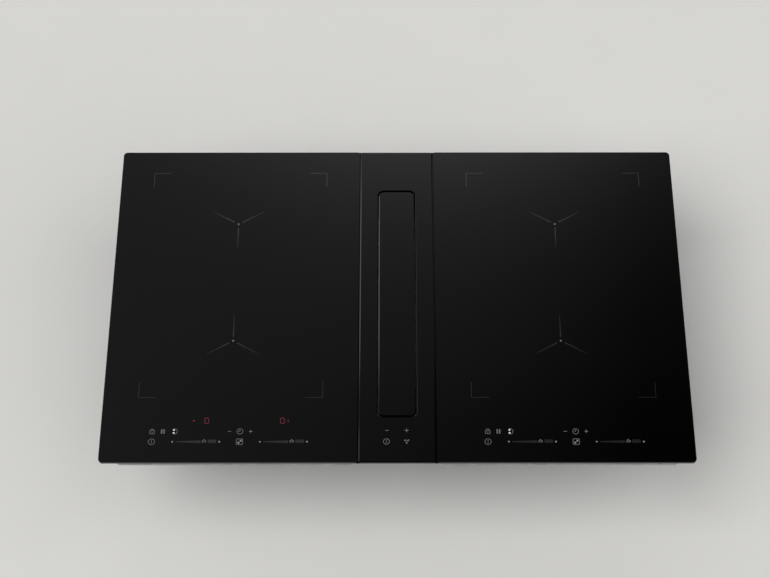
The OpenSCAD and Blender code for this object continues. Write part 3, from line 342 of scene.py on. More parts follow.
def jointRubberFinish():
    # silicone strip in the joints: painted shade makes it nearly black near the front, and painted light
    # makes it paler to the rear
    # the first colour is the painted shade at the front, the second the painted light at the rear
    look = {"clean": "#040404", "paintedLitRear": "#282829", "paintedShadeTo": -200, "paintedLightFrom": 230, "film": 12,
            "uneven": 60, "gather": 2.0, "shine": 0.06}
    material, tree, shader, place = startMaterial("siliconeJointStrip", look["clean"],
                                                  roughness=0.85, ior=1.41)
    axes = addNode(tree, "ShaderNodeSeparateXYZ", links={0: place}).outputs
    film = addNode(tree, "ShaderNodeTexNoise", {"Scale": 1 / (look["film"] * mm), "Detail": 3.0},
                   {"Vector": place})
    patchy = addNode(tree, "ShaderNodeMath", {"operation": "MULTIPLY_ADD", 1: look["uneven"] * mm,
                                              2: -look["uneven"] / 2 * mm}, {0: film.outputs[0]})
    along = addNode(tree, "ShaderNodeMath", {"operation": "ADD"}, {0: axes["Y"], 1: patchy.outputs[0]})
    # how far the painted light reaches along the joint, from the shaded front to the paler rear, its edge
    # made patchy by noise
    paintedLightShare = addNode(tree, "ShaderNodeMapRange", {"From Min": look["paintedShadeTo"] * mm,
                                                "From Max": look["paintedLightFrom"] * mm},
                   {"Value": along.outputs[0]})
    paintedLightShare = addNode(tree, "ShaderNodeMath", {"operation": "POWER", 1: look["gather"]},
                   {0: paintedLightShare.outputs[0]})
    tone = addNode(tree, "ShaderNodeMix", {"data_type": "RGBA", 6: linearOf(look["clean"]),
                                           7: linearOf(look["paintedLitRear"])}, {0: paintedLightShare.outputs[0]})
    tree.links.new(tone.outputs[2], shader.inputs["Base Color"])
    shader.inputs["Specular IOR Level"].default_value = look["shine"]
    return material


def mouldedFinish(name, dark, light, roughness):
    # moulded nylon or acetal: a soft sheen and an even eroded grain, drawn coarser than real so as to show
    look = {"grain": 0.9, "cloud": 60, "depth": 0.12, "smoother": 0.08, "rougher": 0.1}
    material, tree, shader, place = startMaterial(name, dark, roughness, ior=1.53)
    grain = addNode(tree, "ShaderNodeTexNoise", {"Scale": 1 / (look["grain"] * mm), "Detail": 2.0},
                    {"Vector": place})
    cloud = addNode(tree, "ShaderNodeTexNoise", {"Scale": 1 / (look["cloud"] * mm), "Detail": 3.0},
                    {"Vector": place})
    tone = addNode(tree, "ShaderNodeMix", {"data_type": "RGBA", 6: linearOf(dark), 7: linearOf(light)},
                   {0: cloud.outputs[0]})
    rough = addNode(tree, "ShaderNodeMapRange", {"To Min": roughness - look["smoother"],
                                                 "To Max": roughness + look["rougher"]},
                    {"Value": grain.outputs[0]})
    relief = addNode(tree, "ShaderNodeBump", {"Strength": 0.5, "Distance": look["depth"] * mm},
                     {"Height": grain.outputs[0]})
    tree.links.new(tone.outputs[2], shader.inputs["Base Color"])
    tree.links.new(rough.outputs[0], shader.inputs["Roughness"])
    tree.links.new(relief.outputs[0], shader.inputs["Normal"])
    return material


def galvanisedFinish():
    # hot-dip galvanised sheet: crystals of zinc, each with its own tone and gloss
    look = {"dark": "#8F9497", "light": "#B4B8BA", "spangle": 7, "film": 30, "filmShare": 0.45,
            "smooth": 0.3, "rough": 0.5}
    material, tree, shader, place = startMaterial("galvanisedSheet", look["light"],
                                                  roughness=0.4, metallic=1.0)
    crystals = addNode(tree, "ShaderNodeTexVoronoi",
                       {"Scale": 1 / (look["spangle"] * mm), "Randomness": 1.0}, {"Vector": place})
    pick = addNode(tree, "ShaderNodeSeparateColor", links={0: crystals.outputs["Color"]})
    film = addNode(tree, "ShaderNodeTexNoise", {"Scale": 1 / (look["film"] * mm), "Detail": 5.0},
                   {"Vector": place})
    mixed = addNode(tree, "ShaderNodeMix", {"data_type": "FLOAT", 0: look["filmShare"]},
                    {2: pick.outputs[0], 3: film.outputs[0]})
    tone = addNode(tree, "ShaderNodeMix", {"data_type": "RGBA", 6: linearOf(look["dark"]),
                                           7: linearOf(look["light"])}, {0: mixed.outputs[0]})
    rough = addNode(tree, "ShaderNodeMapRange", {"To Min": look["smooth"], "To Max": look["rough"]},
                    {"Value": pick.outputs[1]})
    tree.links.new(tone.outputs[2], shader.inputs["Base Color"])
    tree.links.new(rough.outputs[0], shader.inputs["Roughness"])
    return material


def brushedFinish(name, dark, light, axis, roughness=0.28):
    # brushed or mill-finish metal: long hair lines along one axis (0 X, 1 Y, 2 Z) that spread its highlights,
    # drawn wider than real so as to show
    look = {"line": 0.6, "length": 40, "depth": 0.03, "smoother": 0.08, "rougher": 0.12}
    material, tree, shader, place = startMaterial(name, light, roughness, metallic=1.0)
    scale = [1 / (look["line"] * mm)] * 3
    scale[axis] = 1 / (look["length"] * mm)
    along = addNode(tree, "ShaderNodeMapping", {"Scale": scale}, {"Vector": place})
    lines = addNode(tree, "ShaderNodeTexNoise", {"Scale": 1.0, "Detail": 3.0, "Roughness": 0.6},
                    {"Vector": along.outputs[0]})
    tone = addNode(tree, "ShaderNodeMix", {"data_type": "RGBA", 6: linearOf(dark), 7: linearOf(light)},
                   {0: lines.outputs[0]})
    rough = addNode(tree, "ShaderNodeMapRange", {"To Min": roughness - look["smoother"],
                                                 "To Max": roughness + look["rougher"]},
                    {"Value": lines.outputs[0]})
    relief = addNode(tree, "ShaderNodeBump", {"Strength": 0.4, "Distance": look["depth"] * mm},
                     {"Height": lines.outputs[0]})
    tree.links.new(tone.outputs[2], shader.inputs["Base Color"])
    tree.links.new(rough.outputs[0], shader.inputs["Roughness"])
    tree.links.new(relief.outputs[0], shader.inputs["Normal"])
    return material


def micaFinish():
    # pressed mica sheet: overlapping flakes with a pearly gloss
    look = {"dark": "#8C7B5C", "light": "#C2B391", "flake": 5, "flatten": (1.0, 1.6, 0.2),
            "smooth": 0.25, "rough": 0.5}
    material, tree, shader, place = startMaterial("micaSheet", look["light"], roughness=0.35, ior=1.58)
    flat = addNode(tree, "ShaderNodeMapping", {"Scale": look["flatten"]}, {"Vector": place})
    flakes = addNode(tree, "ShaderNodeTexVoronoi", {"Scale": 1 / (look["flake"] * mm)},
                     {"Vector": flat.outputs[0]})
    pick = addNode(tree, "ShaderNodeSeparateColor", links={0: flakes.outputs["Color"]})
    tone = addNode(tree, "ShaderNodeMix", {"data_type": "RGBA", 6: linearOf(look["dark"]),
                                           7: linearOf(look["light"])}, {0: pick.outputs[0]})
    rough = addNode(tree, "ShaderNodeMapRange", {"To Min": look["smooth"], "To Max": look["rough"]},
                    {"Value": pick.outputs[1]})
    tree.links.new(tone.outputs[2], shader.inputs["Base Color"])
    tree.links.new(rough.outputs[0], shader.inputs["Roughness"])
    return material


def windingFinish():
    # enamelled copper litz, wound flat: rings of twisted wire under amber varnish
    look = {"dark": "#5E2A12", "light": "#B4663A", "strand": 3.5, "twist": 1.6, "twistShare": 0.3,
            "depth": 0.6, "varnish": 0.4, "varnishRough": 0.2, "coilX": 235.3, "rearY": 130.5,
            "frontY": -67.8, "between": 31.4}
    waveSpacing = 0.314  # how far apart the wave texture's own rings lie at scale 1
    material, tree, shader, place = startMaterial("varnishedLitz", look["light"],
                                                  roughness=0.36, metallic=0.85)
    # all four coils share the pattern: each point is measured from the middle of its own coil
    axes = addNode(tree, "ShaderNodeSeparateXYZ", links={0: place}).outputs
    acrossX = addNode(tree, "ShaderNodeMath", {"operation": "ABSOLUTE"}, {0: axes["X"]})
    acrossX = addNode(tree, "ShaderNodeMath", {"operation": "SUBTRACT", 1: look["coilX"] * mm},
                      {0: acrossX.outputs[0]})
    isRear = addNode(tree, "ShaderNodeMath", {"operation": "GREATER_THAN", 1: look["between"] * mm},
                     {0: axes["Y"]})
    centreY = addNode(tree, "ShaderNodeMath", {"operation": "MULTIPLY_ADD",
                                               1: (look["rearY"] - look["frontY"]) * mm,
                                               2: look["frontY"] * mm}, {0: isRear.outputs[0]})
    acrossY = addNode(tree, "ShaderNodeMath", {"operation": "SUBTRACT"},
                      {0: axes["Y"], 1: centreY.outputs[0]})
    centred = addNode(tree, "ShaderNodeCombineXYZ", links={0: acrossX.outputs[0], 1: acrossY.outputs[0]})
    rings = addNode(tree, "ShaderNodeTexWave",
                    {"wave_type": "RINGS", "rings_direction": "Z",
                     "Scale": waveSpacing / (look["strand"] * mm), "Distortion": 0.0},
                    {"Vector": centred.outputs[0]})
    twist = addNode(tree, "ShaderNodeTexVoronoi", {"Scale": 1 / (look["twist"] * mm)},
                    {"Vector": centred.outputs[0]})
    mixed = addNode(tree, "ShaderNodeMix", {"data_type": "FLOAT", 0: look["twistShare"]},
                    {2: rings.outputs[1], 3: twist.outputs[0]})
    tone = addNode(tree, "ShaderNodeMix", {"data_type": "RGBA", 6: linearOf(look["dark"]),
                                           7: linearOf(look["light"])}, {0: mixed.outputs[0]})
    relief = addNode(tree, "ShaderNodeBump", {"Strength": 0.7, "Distance": look["depth"] * mm},
                     {"Height": mixed.outputs[0]})
    tree.links.new(tone.outputs[2], shader.inputs["Base Color"])
    tree.links.new(relief.outputs[0], shader.inputs["Normal"])
    shader.inputs["Coat Weight"].default_value = look["varnish"]
    shader.inputs["Coat Roughness"].default_value = look["varnishRough"]
    return material


def ferriteFinish():
    # sintered ferrite: dark grey, dull, with the speckle of its pressed powder, drawn coarser so as to show
    look = {"dark": "#232326", "light": "#3A3A3E", "speck": 0.8, "depth": 0.1}
    material, tree, shader, place = startMaterial("sinteredFerrite", look["dark"],
                                                  roughness=0.55, metallic=0.1)
    specks = addNode(tree, "ShaderNodeTexNoise", {"Scale": 1 / (look["speck"] * mm), "Detail": 4.0},
                     {"Vector": place})
    tone = addNode(tree, "ShaderNodeMix", {"data_type": "RGBA", 6: linearOf(look["dark"]),
                                           7: linearOf(look["light"])}, {0: specks.outputs[0]})
    relief = addNode(tree, "ShaderNodeBump", {"Strength": 0.4, "Distance": look["depth"] * mm},
                     {"Height": specks.outputs[0]})
    tree.links.new(tone.outputs[2], shader.inputs["Base Color"])
    tree.links.new(relief.outputs[0], shader.inputs["Normal"])
    return material


def ceramicFinish():
    # glazed steatite sensor housing: cream white with a soft gloss
    look = {"dark": "#DCD5C4", "light": "#EFEADD", "cloud": 8}
    material, tree, shader, place = startMaterial("glazedSteatite", look["light"], roughness=0.25, ior=1.52)
    cloud = addNode(tree, "ShaderNodeTexNoise", {"Scale": 1 / (look["cloud"] * mm), "Detail": 3.0},
                    {"Vector": place})
    tone = addNode(tree, "ShaderNodeMix", {"data_type": "RGBA", 6: linearOf(look["dark"]),
                                           7: linearOf(look["light"])}, {0: cloud.outputs[0]})
    tree.links.new(tone.outputs[2], shader.inputs["Base Color"])
    return material


def boardFinish():
    # glass-epoxy board under green lacquer, with its tracks, and dark moulded parts standing on it
    look = {"lacquer": "#14472A", "lacquerThin": "#175030", "track": "#1F6A3D", "partDark": "#1B1B1E",
            "partLight": "#4A4A50", "trackPitch": 2.5, "trackShare": 0.03, "part": 30, "boardTop": -42.2}
    brickHigh = 0.25  # how high a brick of the brick texture is at scale 1
    material, tree, shader, place = startMaterial("lacqueredBoard", look["lacquer"], roughness=0.35, ior=1.5)
    tracks = addNode(tree, "ShaderNodeTexBrick",
                     {"offset": 0.37, "squash": 0.6, "Scale": brickHigh / (look["trackPitch"] * mm),
                      "Mortar Size": look["trackShare"], "Color1": linearOf(look["lacquer"]),
                      "Color2": linearOf(look["lacquerThin"]), "Mortar": linearOf(look["track"])},
                     {"Vector": place})
    cells = addNode(tree, "ShaderNodeTexVoronoi", {"Scale": 1 / (look["part"] * mm)}, {"Vector": place})
    pick = addNode(tree, "ShaderNodeSeparateColor", links={0: cells.outputs["Color"]})
    partTone = addNode(tree, "ShaderNodeMix", {"data_type": "RGBA", 6: linearOf(look["partDark"]),
                                               7: linearOf(look["partLight"])}, {0: pick.outputs[0]})
    axes = addNode(tree, "ShaderNodeSeparateXYZ", links={0: place}).outputs
    isPart = addNode(tree, "ShaderNodeMath", {"operation": "GREATER_THAN", 1: look["boardTop"] * mm},
                     {0: axes["Z"]})
    tone = addNode(tree, "ShaderNodeMix", {"data_type": "RGBA"},
                   {0: isPart.outputs[0], 6: tracks.outputs[0], 7: partTone.outputs[2]})
    tree.links.new(tone.outputs[2], shader.inputs["Base Color"])
    return material


def trayFinish():
    # translucent polypropylene: smoky and milky, so that one sees how full the tray is
    look = {"colour": "#B9C0C2", "pale": "#D2D8D9", "flow": 30, "clear": 0.45}
    material, tree, shader, place = startMaterial("smokyPolypropylene", look["colour"],
                                                  roughness=0.32, ior=1.49)
    flow = addNode(tree, "ShaderNodeTexNoise",
                   {"Scale": 1 / (look["flow"] * mm), "Detail": 2.0, "Distortion": 1.0},
                   {"Vector": place})
    tone = addNode(tree, "ShaderNodeMix", {"data_type": "RGBA", 6: linearOf(look["colour"]),
                                           7: linearOf(look["pale"])}, {0: flow.outputs[0]})
    tree.links.new(tone.outputs[2], shader.inputs["Base Color"])
    shader.inputs["Transmission Weight"].default_value = look["clear"]
    return material


def lustrePrintFinish():
    # lustre frit, fired on: nearly as dark as the glass, it shows because it mirrors more of the room;
    # the marks of its screen are drawn coarser than real
    look = {"colour": "#1B1B1A", "thinner": "#161616", "mesh": 1.2}
    material, tree, shader, place = startMaterial("lustreFritPrint", look["colour"], roughness=0.15, ior=2.0)
    mesh = addNode(tree, "ShaderNodeTexNoise", {"Scale": 1 / (look["mesh"] * mm), "Detail": 2.0},
                   {"Vector": place})
    tone = addNode(tree, "ShaderNodeMix", {"data_type": "RGBA", 6: linearOf(look["thinner"]),
                                           7: linearOf(look["colour"])}, {0: mesh.outputs[0]})
    tree.links.new(tone.outputs[2], shader.inputs["Base Color"])
    return material


def enamelPrintFinish(name, hexCode, thinner):
    # ceramic enamel, screen printed and fired on: matt, a little uneven where the mesh left it thinner, which
    # is drawn coarser than real so as to show
    look = {"mesh": 1.2}
    material, tree, shader, place = startMaterial(name, hexCode, roughness=0.4, ior=1.52)
    mesh = addNode(tree, "ShaderNodeTexNoise", {"Scale": 1 / (look["mesh"] * mm), "Detail": 2.0},
                   {"Vector": place})
    tone = addNode(tree, "ShaderNodeMix", {"data_type": "RGBA", 6: linearOf(thinner),
                                           7: linearOf(hexCode)}, {0: mesh.outputs[0]})
    tree.links.new(tone.outputs[2], shader.inputs["Base Color"])
    return material


def litDisplayFinish():
    # segments of a dimmed display under the glass: a soft pinkish red, a little uneven along each bar
    look = {"off": "#0A0A0B", "dim": "#E0486C", "lit": "#FF5A80", "strength": 0.24, "uneven": 2}
    material, tree, shader, place = startMaterial("dimmedDisplay", look["off"], roughness=0.2, ior=1.5)
    grain = addNode(tree, "ShaderNodeTexNoise", {"Scale": 1 / (look["uneven"] * mm), "Detail": 1.0},
                    {"Vector": place})
    tone = addNode(tree, "ShaderNodeMix", {"data_type": "RGBA", 6: linearOf(look["dim"]),
                                           7: linearOf(look["lit"])}, {0: grain.outputs[0]})
    tree.links.new(tone.outputs[2], shader.inputs["Emission Color"])
    shader.inputs["Emission Strength"].default_value = look["strength"]
    return material


finishes = {
    "black_glass": glassCeramicFinish(),
    "seal_rubber": rubberFinish(),
    "black_plastic": mouldedFinish("glassFilledNylon", "#161617", "#1E1E20", roughness=0.5),
    "zinc_steel": galvanisedFinish(),
    "stainless": brushedFinish("brushedStainless", "#A9A7A2", "#CFCDC8", axis=1),
    "mica": micaFinish(),
    "copper": windingFinish(),
    "ferrite": ferriteFinish(),
    "aluminium": brushedFinish("millFinishAluminium", "#B5B8BB", "#D5D7D9", axis=1, roughness=0.36),
    "ceramic": ceramicFinish(),
    "circuit_board": boardFinish(),
    "pale_plastic": mouldedFinish("naturalAcetal", "#D9D5CA", "#E6E2D8", roughness=0.42),
    "tray_plastic": trayFinish(),
}
for node in nodes.values():
    for slot in node.material_slots:
        slot.material = finishes[slot.material.name.split(".")[0]]
jointRubber = jointRubberFinish()
for slot in nodes["seam_strips"].material_slots:
    slot.material = jointRubber
print("finishes on the frame done")


# prints on the glass: thin fired enamel, modelled for the left module and copied to the right one

printed = {"low": 6.0, "thick": 0.05, "line": 0.8, "thin": 0.58}
line, thin = printed["line"], printed["thin"]


def addStroke(x, y, length, width, turn=0.0, tip=1.0):
    # a flat stroke that starts at (x, y) and runs at an angle, its far end narrowed to a share of its width
    clearSelection()
    bpy.ops.mesh.primitive_plane_add(size=1, location=(0, 0, printed["low"] * mm))
    stroke = bpy.context.object
    stroke.scale = (length * mm, width * mm, 1)
    bpy.ops.object.transform_apply(location=False, rotation=False, scale=True)
    bpy.ops.object.mode_set(mode="EDIT")
    if tip != 1.0:
        selectVerts(stroke, lambda co: co.x > 0)
        bpy.ops.transform.resize(value=(1, tip, 1), center_override=(0, 0, printed["low"] * mm))
    bpy.ops.object.mode_set(mode="OBJECT")
    stroke.location = ((x + cos(turn) * length / 2) * mm, (y + sin(turn) * length / 2) * mm,
                       printed["low"] * mm)
    stroke.rotation_euler = (0, 0, turn)
    return placeInMesh(stroke)


def addDisc(x, y, across, corners=24):
    clearSelection()
    bpy.ops.mesh.primitive_circle_add(vertices=corners, radius=across / 2 * mm, fill_type="NGON",
                                      location=(x * mm, y * mm, printed["low"] * mm))
    return placeInMesh(bpy.context.object)


def addRing(x, y, across, width, half=None):
    # a flat ring: a disc inset, its middle deleted; half keeps one side of it, by a direction and a shift
    ring = addDisc(x, y, across, 32)
    editAll(ring)
    bpy.ops.mesh.inset(thickness=width * mm)
    bpy.ops.mesh.delete(type="FACE")
    if half:
        bpy.ops.mesh.select_all(action="SELECT")
        bpy.ops.mesh.bisect(plane_co=((x + half[2]) * mm, (y + half[3]) * mm, 0),
                            plane_no=(half[0], half[1], 0), clear_inner=True)
    bpy.ops.object.mode_set(mode="OBJECT")
    return ring


def addRoundedFrame(x, y, wide, high, corner, width=0):
    # a plane with its corners bevelled, and for an outline it is inset and its middle deleted
    clearSelection()
    bpy.ops.mesh.primitive_plane_add(size=1, location=(x * mm, y * mm, printed["low"] * mm))
    outline = bpy.context.object
    outline.scale = (wide * mm, high * mm, 1)
    editAll(placeInMesh(outline))
    bpy.ops.mesh.bevel(offset=corner * mm, segments=4, affect="VERTICES")
    if width:
        bpy.ops.mesh.select_all(action="SELECT")
        bpy.ops.mesh.inset(thickness=width * mm)
        bpy.ops.mesh.delete(type="FACE")
    bpy.ops.object.mode_set(mode="OBJECT")
    return outline


def addPlus(x, y, across, arm):
    # one long stroke, and an arm above and below it
    return [addStroke(x - across / 2, y, across, thin),
            addStroke(x, y + thin / 2, arm, thin, pi / 2),
            addStroke(x, y - thin / 2, arm, thin, -pi / 2)]


def addPower(x, y, across, bar, width):
    # a ring with a bar in its middle
    return [addRing(x, y, across, width),
            addStroke(x, y - bar / 2, bar, width, pi / 2)]


def raisePrint(name, parts, material):
    # the flat shapes become one thin print that lies on the glass
    piece = joinAll(name, parts)
    editAll(piece)
    bpy.ops.mesh.extrude_region_move(TRANSFORM_OT_translate={"value": (0, 0, printed["thick"] * mm)})
    turnFacesOut()
    return finishPiece(piece, material, "hob")


def printBothModules(name, parts, material, middle):
    left = raisePrint("left_" + name, parts, material)
    right = copyOf(left, shift=(-2 * middle * mm, 0, 0))
    right.name = "right_" + name
    right.data.name = right.name
    finishPiece(right, material, "hob")


lustrePrint = lustrePrintFinish()
midPrint = enamelPrintFinish("midGreyEnamelPrint", "#666664", "#585856")
palePrint = enamelPrintFinish("paleEnamelPrint", "#848482", "#747472")
brightPrint = enamelPrintFinish("brightEnamelPrint", "#D8D8D6", "#C4C4C2")
dimmedDisplay = litDisplayFinish()

# corner marks of the cooking zones: one angle, turned and mirrored to the four corners
zone = {"x": -235.25, "halfWide": 130.5, "rear": 222.0, "front": -159.5, "leg": 25.0, "stroke": 0.8}
zoneLeft, zoneLine = zone["x"] - zone["halfWide"], zone["stroke"]
angleMark = joinAll("angleMark", [
    addStroke(zoneLeft, zone["rear"] - zoneLine / 2, zone["leg"], zoneLine),
    addStroke(zoneLeft + zoneLine / 2, zone["rear"] - zoneLine, zone["leg"] - zoneLine, zoneLine, -pi / 2)])
zoneMiddle = (zone["x"] * mm, (zone["rear"] + zone["front"]) / 2 * mm)
zoneCorners = [angleMark, copyOf(angleMark, about=zoneMiddle, turn=pi)]
zoneCorners += [copyOf(angleMark, about=zoneMiddle, mirror=way) for way in ("x", "y")]
printBothModules("zone_corners", zoneCorners, lustrePrint, zone["x"])

# centre marks: three rays round a dot, thinner towards their tips; the front one is turned half round
centre = {"dot": 3.1, "start": 6.5, "end": 43.0, "width": 1.8, "tip": 0.2, "rearY": 130.5, "frontY": -67.8}
ray = addStroke(zone["x"], centre["rearY"] - centre["start"], centre["end"] - centre["start"],
                centre["width"], -pi / 2, centre["tip"])
rearMiddle = (zone["x"] * mm, centre["rearY"] * mm)
turnedRays = [copyOf(ray, turn=step * 2 * pi / 3, about=rearMiddle) for step in (1, 2)]
rearRays = joinAll("rearRays", [ray] + turnedRays)
frontRays = copyOf(rearRays, shift=(0, (centre["frontY"] - centre["rearY"]) * mm, 0), turn=pi,
                   about=rearMiddle)
printBothModules("zone_rays", [rearRays, frontRays], lustrePrint, zone["x"])
dots = [addDisc(zone["x"], y, centre["dot"]) for y in (centre["rearY"], centre["frontY"])]
printBothModules("zone_dots", dots, midPrint, zone["x"])

# touch keys of a cooking module in two rows, their places measured from its middle
touch = {"x": -234.55, "rearRow": -212.4, "frontRow": -228.3, "lock": -108, "pause": -93, "bridge": -77.6,
         "less": 0.2, "clock": 14.8, "more": 29.7, "firstSlider": -79.0, "nextSlider": 122.3}
lockX, pauseX, bridgeX = (touch["x"] + touch[key] for key in ("lock", "pause", "bridge"))
lessX, clockX, moreX = (touch["x"] + touch[key] for key in ("less", "clock", "more"))
sliderX = touch["x"] + touch["firstSlider"]
rearRow, frontRow = touch["rearRow"], touch["frontRow"]
nextSlider = (touch["nextSlider"] * mm, 0, 0)

# lock: half a ring over a body with a keyhole
lock = {"wide": 7.4, "high": 5.6, "corner": 1.0, "down": 1.2, "ring": 5.4, "ringUp": 1.6, "keyhole": 1.7}
keys = [addRoundedFrame(lockX, rearRow - lock["down"], lock["wide"], lock["high"], lock["corner"], line),
        addRing(lockX, rearRow + lock["ringUp"], lock["ring"], line, half=(0, 1, 0, 0)),
        addDisc(lockX, rearRow - lock["down"], lock["keyhole"], 12)]

# pause: two bars
pause = {"wide": 2.1, "high": 7.0, "corner": 0.6, "apart": 3.4}
pauseBar = addRoundedFrame(pauseX - pause["apart"] / 2, rearRow, pause["wide"], pause["high"],
                           pause["corner"])
keys += [pauseBar, copyOf(pauseBar, shift=(pause["apart"] * mm, 0, 0))]

# clock: a ring with two hands, which meet a little below its middle
clock = {"across": 9.0, "off": 0.4, "longHand": 3.0, "shortHand": 2.6, "shortTurn": pi * 5 / 6}
keys += [addRing(clockX, rearRow, clock["across"], line),
         addStroke(clockX, rearRow - clock["off"], clock["longHand"], line, pi / 2),
         addStroke(clockX - clock["off"], rearRow - clock["off"], clock["shortHand"], line,
                   clock["shortTurn"])]

# power, the frame of the joined zones, and the bridge's half ring
powerKey = {"across": 9.6, "bar": 4.6}
joined = {"side": 9.6, "corner": 1.8, "line": 0.9, "zone": 2.7, "zoneCorner": 0.6, "zoneOff": 1.5}
bridge = {"across": 10.4, "from": 1.6, "dot": 2.9, "dotUp": 2.4}
keys += addPower(lockX, frontRow, powerKey["across"], powerKey["bar"], line)
keys += [addRoundedFrame(clockX, frontRow, joined["side"], joined["side"], joined["corner"],
                         joined["line"]),
         addRing(bridgeX, rearRow, bridge["across"], line, half=(1, 0, bridge["from"], 0))]
printBothModules("touch_keys", keys, midPrint, touch["x"])

# less and more, and the two cooking zones inside the joined one
levelKeys = {"less": 4.6, "more": 5.0, "arm": 2.1}
innerZone = addRoundedFrame(clockX + joined["zoneOff"], frontRow + joined["zoneOff"], joined["zone"],
                            joined["zone"], joined["zoneCorner"])
otherZone = copyOf(innerZone, shift=(-2 * joined["zoneOff"] * mm, -2 * joined["zoneOff"] * mm, 0))
signs = [addStroke(lessX - levelKeys["less"] / 2, rearRow, levelKeys["less"], thin)]
signs += addPlus(moreX, rearRow, levelKeys["more"], levelKeys["arm"]) + [innerZone, otherZone]

# the dots at a slider's ends, and between them the keep-warm bell: half a ring on a bar, with a stem
slider = {"startDot": 2.4, "endDot": 2.6, "endX": 65.6, "wedgeStart": 4.5, "wedge": 35.0, "high": 4.2,
          "tip": 0.3, "boostX": 55.4, "boostUp": 0.7, "boostWide": 12.0, "boostHigh": 5.2,
          "boostCorner": 1.2}
bell = {"x": 44.2, "up": 0.6, "across": 5.6, "line": 0.52, "ringDown": 0.6, "bar": 6.0, "barDown": 1.0,
        "stem": 1.2, "stemUp": 2.2}
bellX, bellY = sliderX + bell["x"], frontRow + bell["up"]
sliderSigns = joinAll("sliderSigns", [
    addDisc(sliderX, frontRow, slider["startDot"], 16),
    addDisc(sliderX + slider["endX"], frontRow, slider["endDot"]),
    addRing(bellX, bellY - bell["ringDown"], bell["across"], bell["line"], half=(0, 1, 0, 0)),
    addStroke(bellX - bell["bar"] / 2, bellY - bell["barDown"], bell["bar"], bell["line"]),
    addStroke(bellX, bellY + bell["stemUp"], bell["stem"], bell["line"], pi / 2)])
signs += [sliderSigns, copyOf(sliderSigns, shift=nextSlider)]
printBothModules("signs", signs, palePrint, touch["x"])

bridgeDot = addDisc(bridgeX, rearRow + bridge["dotUp"], bridge["dot"])
bridgeDots = [bridgeDot, copyOf(bridgeDot, shift=(0, -2 * bridge["dotUp"] * mm, 0))]
printBothModules("bridge_dots", bridgeDots, brightPrint, touch["x"])

# the sliders: a wedge that grows to the right, and the boost field after it
sliderShapes = joinAll("sliderShapes", [
    addStroke(sliderX + slider["wedgeStart"] + slider["wedge"], frontRow, slider["wedge"],
              slider["high"], pi, slider["tip"]),
    addRoundedFrame(sliderX + slider["boostX"], frontRow + slider["boostUp"], slider["boostWide"],
                    slider["boostHigh"], slider["boostCorner"])])
sliderPair = [sliderShapes, copyOf(sliderShapes, shift=nextSlider)]
printBothModules("sliders", sliderPair, lustrePrint, touch["x"])

# lit displays: a zero of six bars over each slider, a dot and a tick; only the left module is switched on
digit = {"row": -195.8, "firstX": -32.5, "nextX": 106.2, "halfHigh": 4.2, "halfWide": 2.7, "bar": 0.8,
         "flat": 4.2, "side": 3.3, "sideUp": 0.35, "dotX": -50.5, "dot": 2.4, "tickX": 81.7, "tick": 4.4}
zeroX, digitRow, bar = touch["x"] + digit["firstX"], digit["row"], digit["bar"]
zeroMiddle = (zeroX * mm, digitRow * mm)
flatBar = addStroke(zeroX - digit["flat"] / 2, digitRow + digit["halfHigh"], digit["flat"], bar)
sideBar = addStroke(zeroX + digit["halfWide"], digitRow + digit["sideUp"], digit["side"], bar, pi / 2)
bars = [flatBar, copyOf(flatBar, about=zeroMiddle, mirror="y"),
        sideBar, copyOf(sideBar, about=zeroMiddle, turn=pi)]
bars += [copyOf(sideBar, about=zeroMiddle, mirror=way) for way in ("x", "y")]
zero = joinAll("zero", bars)
display = [zero, copyOf(zero, shift=(digit["nextX"] * mm, 0, 0)),
           addDisc(touch["x"] + digit["dotX"], digitRow, digit["dot"], 20),
           addStroke(touch["x"] + digit["tickX"], digitRow - digit["tick"] / 2, digit["tick"], bar, pi / 2)]
raisePrint("left_display", display, dimmedDisplay)

# the hood's own four keys: less and more, power and fan
hoodKeys = {"rearRow": -210.8, "frontRow": -228.1, "lessX": -14.2, "less": 4.6, "moreX": 13.3,
            "more": 5.4, "arm": 2.3, "powerX": -15.0, "power": 9.3, "bar": 4.8, "line": 0.85,
            "fanX": 13.2, "fanUp": 0.6, "petal": 3.2, "petalOut": 2.4, "petalShape": (0.74, 1.08, 1)}
less = addStroke(hoodKeys["lessX"] - hoodKeys["less"] / 2, hoodKeys["rearRow"], hoodKeys["less"], thin)
more = addPlus(hoodKeys["moreX"], hoodKeys["rearRow"], hoodKeys["more"], hoodKeys["arm"])
raisePrint("hood_level_keys", [less] + more, palePrint)
hoodPower = addPower(hoodKeys["powerX"], hoodKeys["frontRow"], hoodKeys["power"], hoodKeys["bar"],
                     hoodKeys["line"])
# the fan is one petal, squeezed and moved out, and turned to three places
fanY = hoodKeys["frontRow"] + hoodKeys["fanUp"]
fanMiddle = (hoodKeys["fanX"] * mm, fanY * mm)
petal = addDisc(hoodKeys["fanX"], fanY, hoodKeys["petal"], 20)
editAll(petal)
bpy.ops.transform.resize(value=hoodKeys["petalShape"],
                         center_override=(fanMiddle[0], fanMiddle[1], printed["low"] * mm))
bpy.ops.transform.translate(value=(0, -hoodKeys["petalOut"] * mm, 0))
bpy.ops.object.mode_set(mode="OBJECT")
fan = [petal] + [copyOf(petal, turn=step * 2 * pi / 3, about=fanMiddle) for step in (1, 2)]
raisePrint("hood_power_keys", hoodPower + fan, midPrint)
print("prints done")


# plugs that close the joints' ends where the panes' corners turn away: one is flared like the corners and
# copied to the four ends

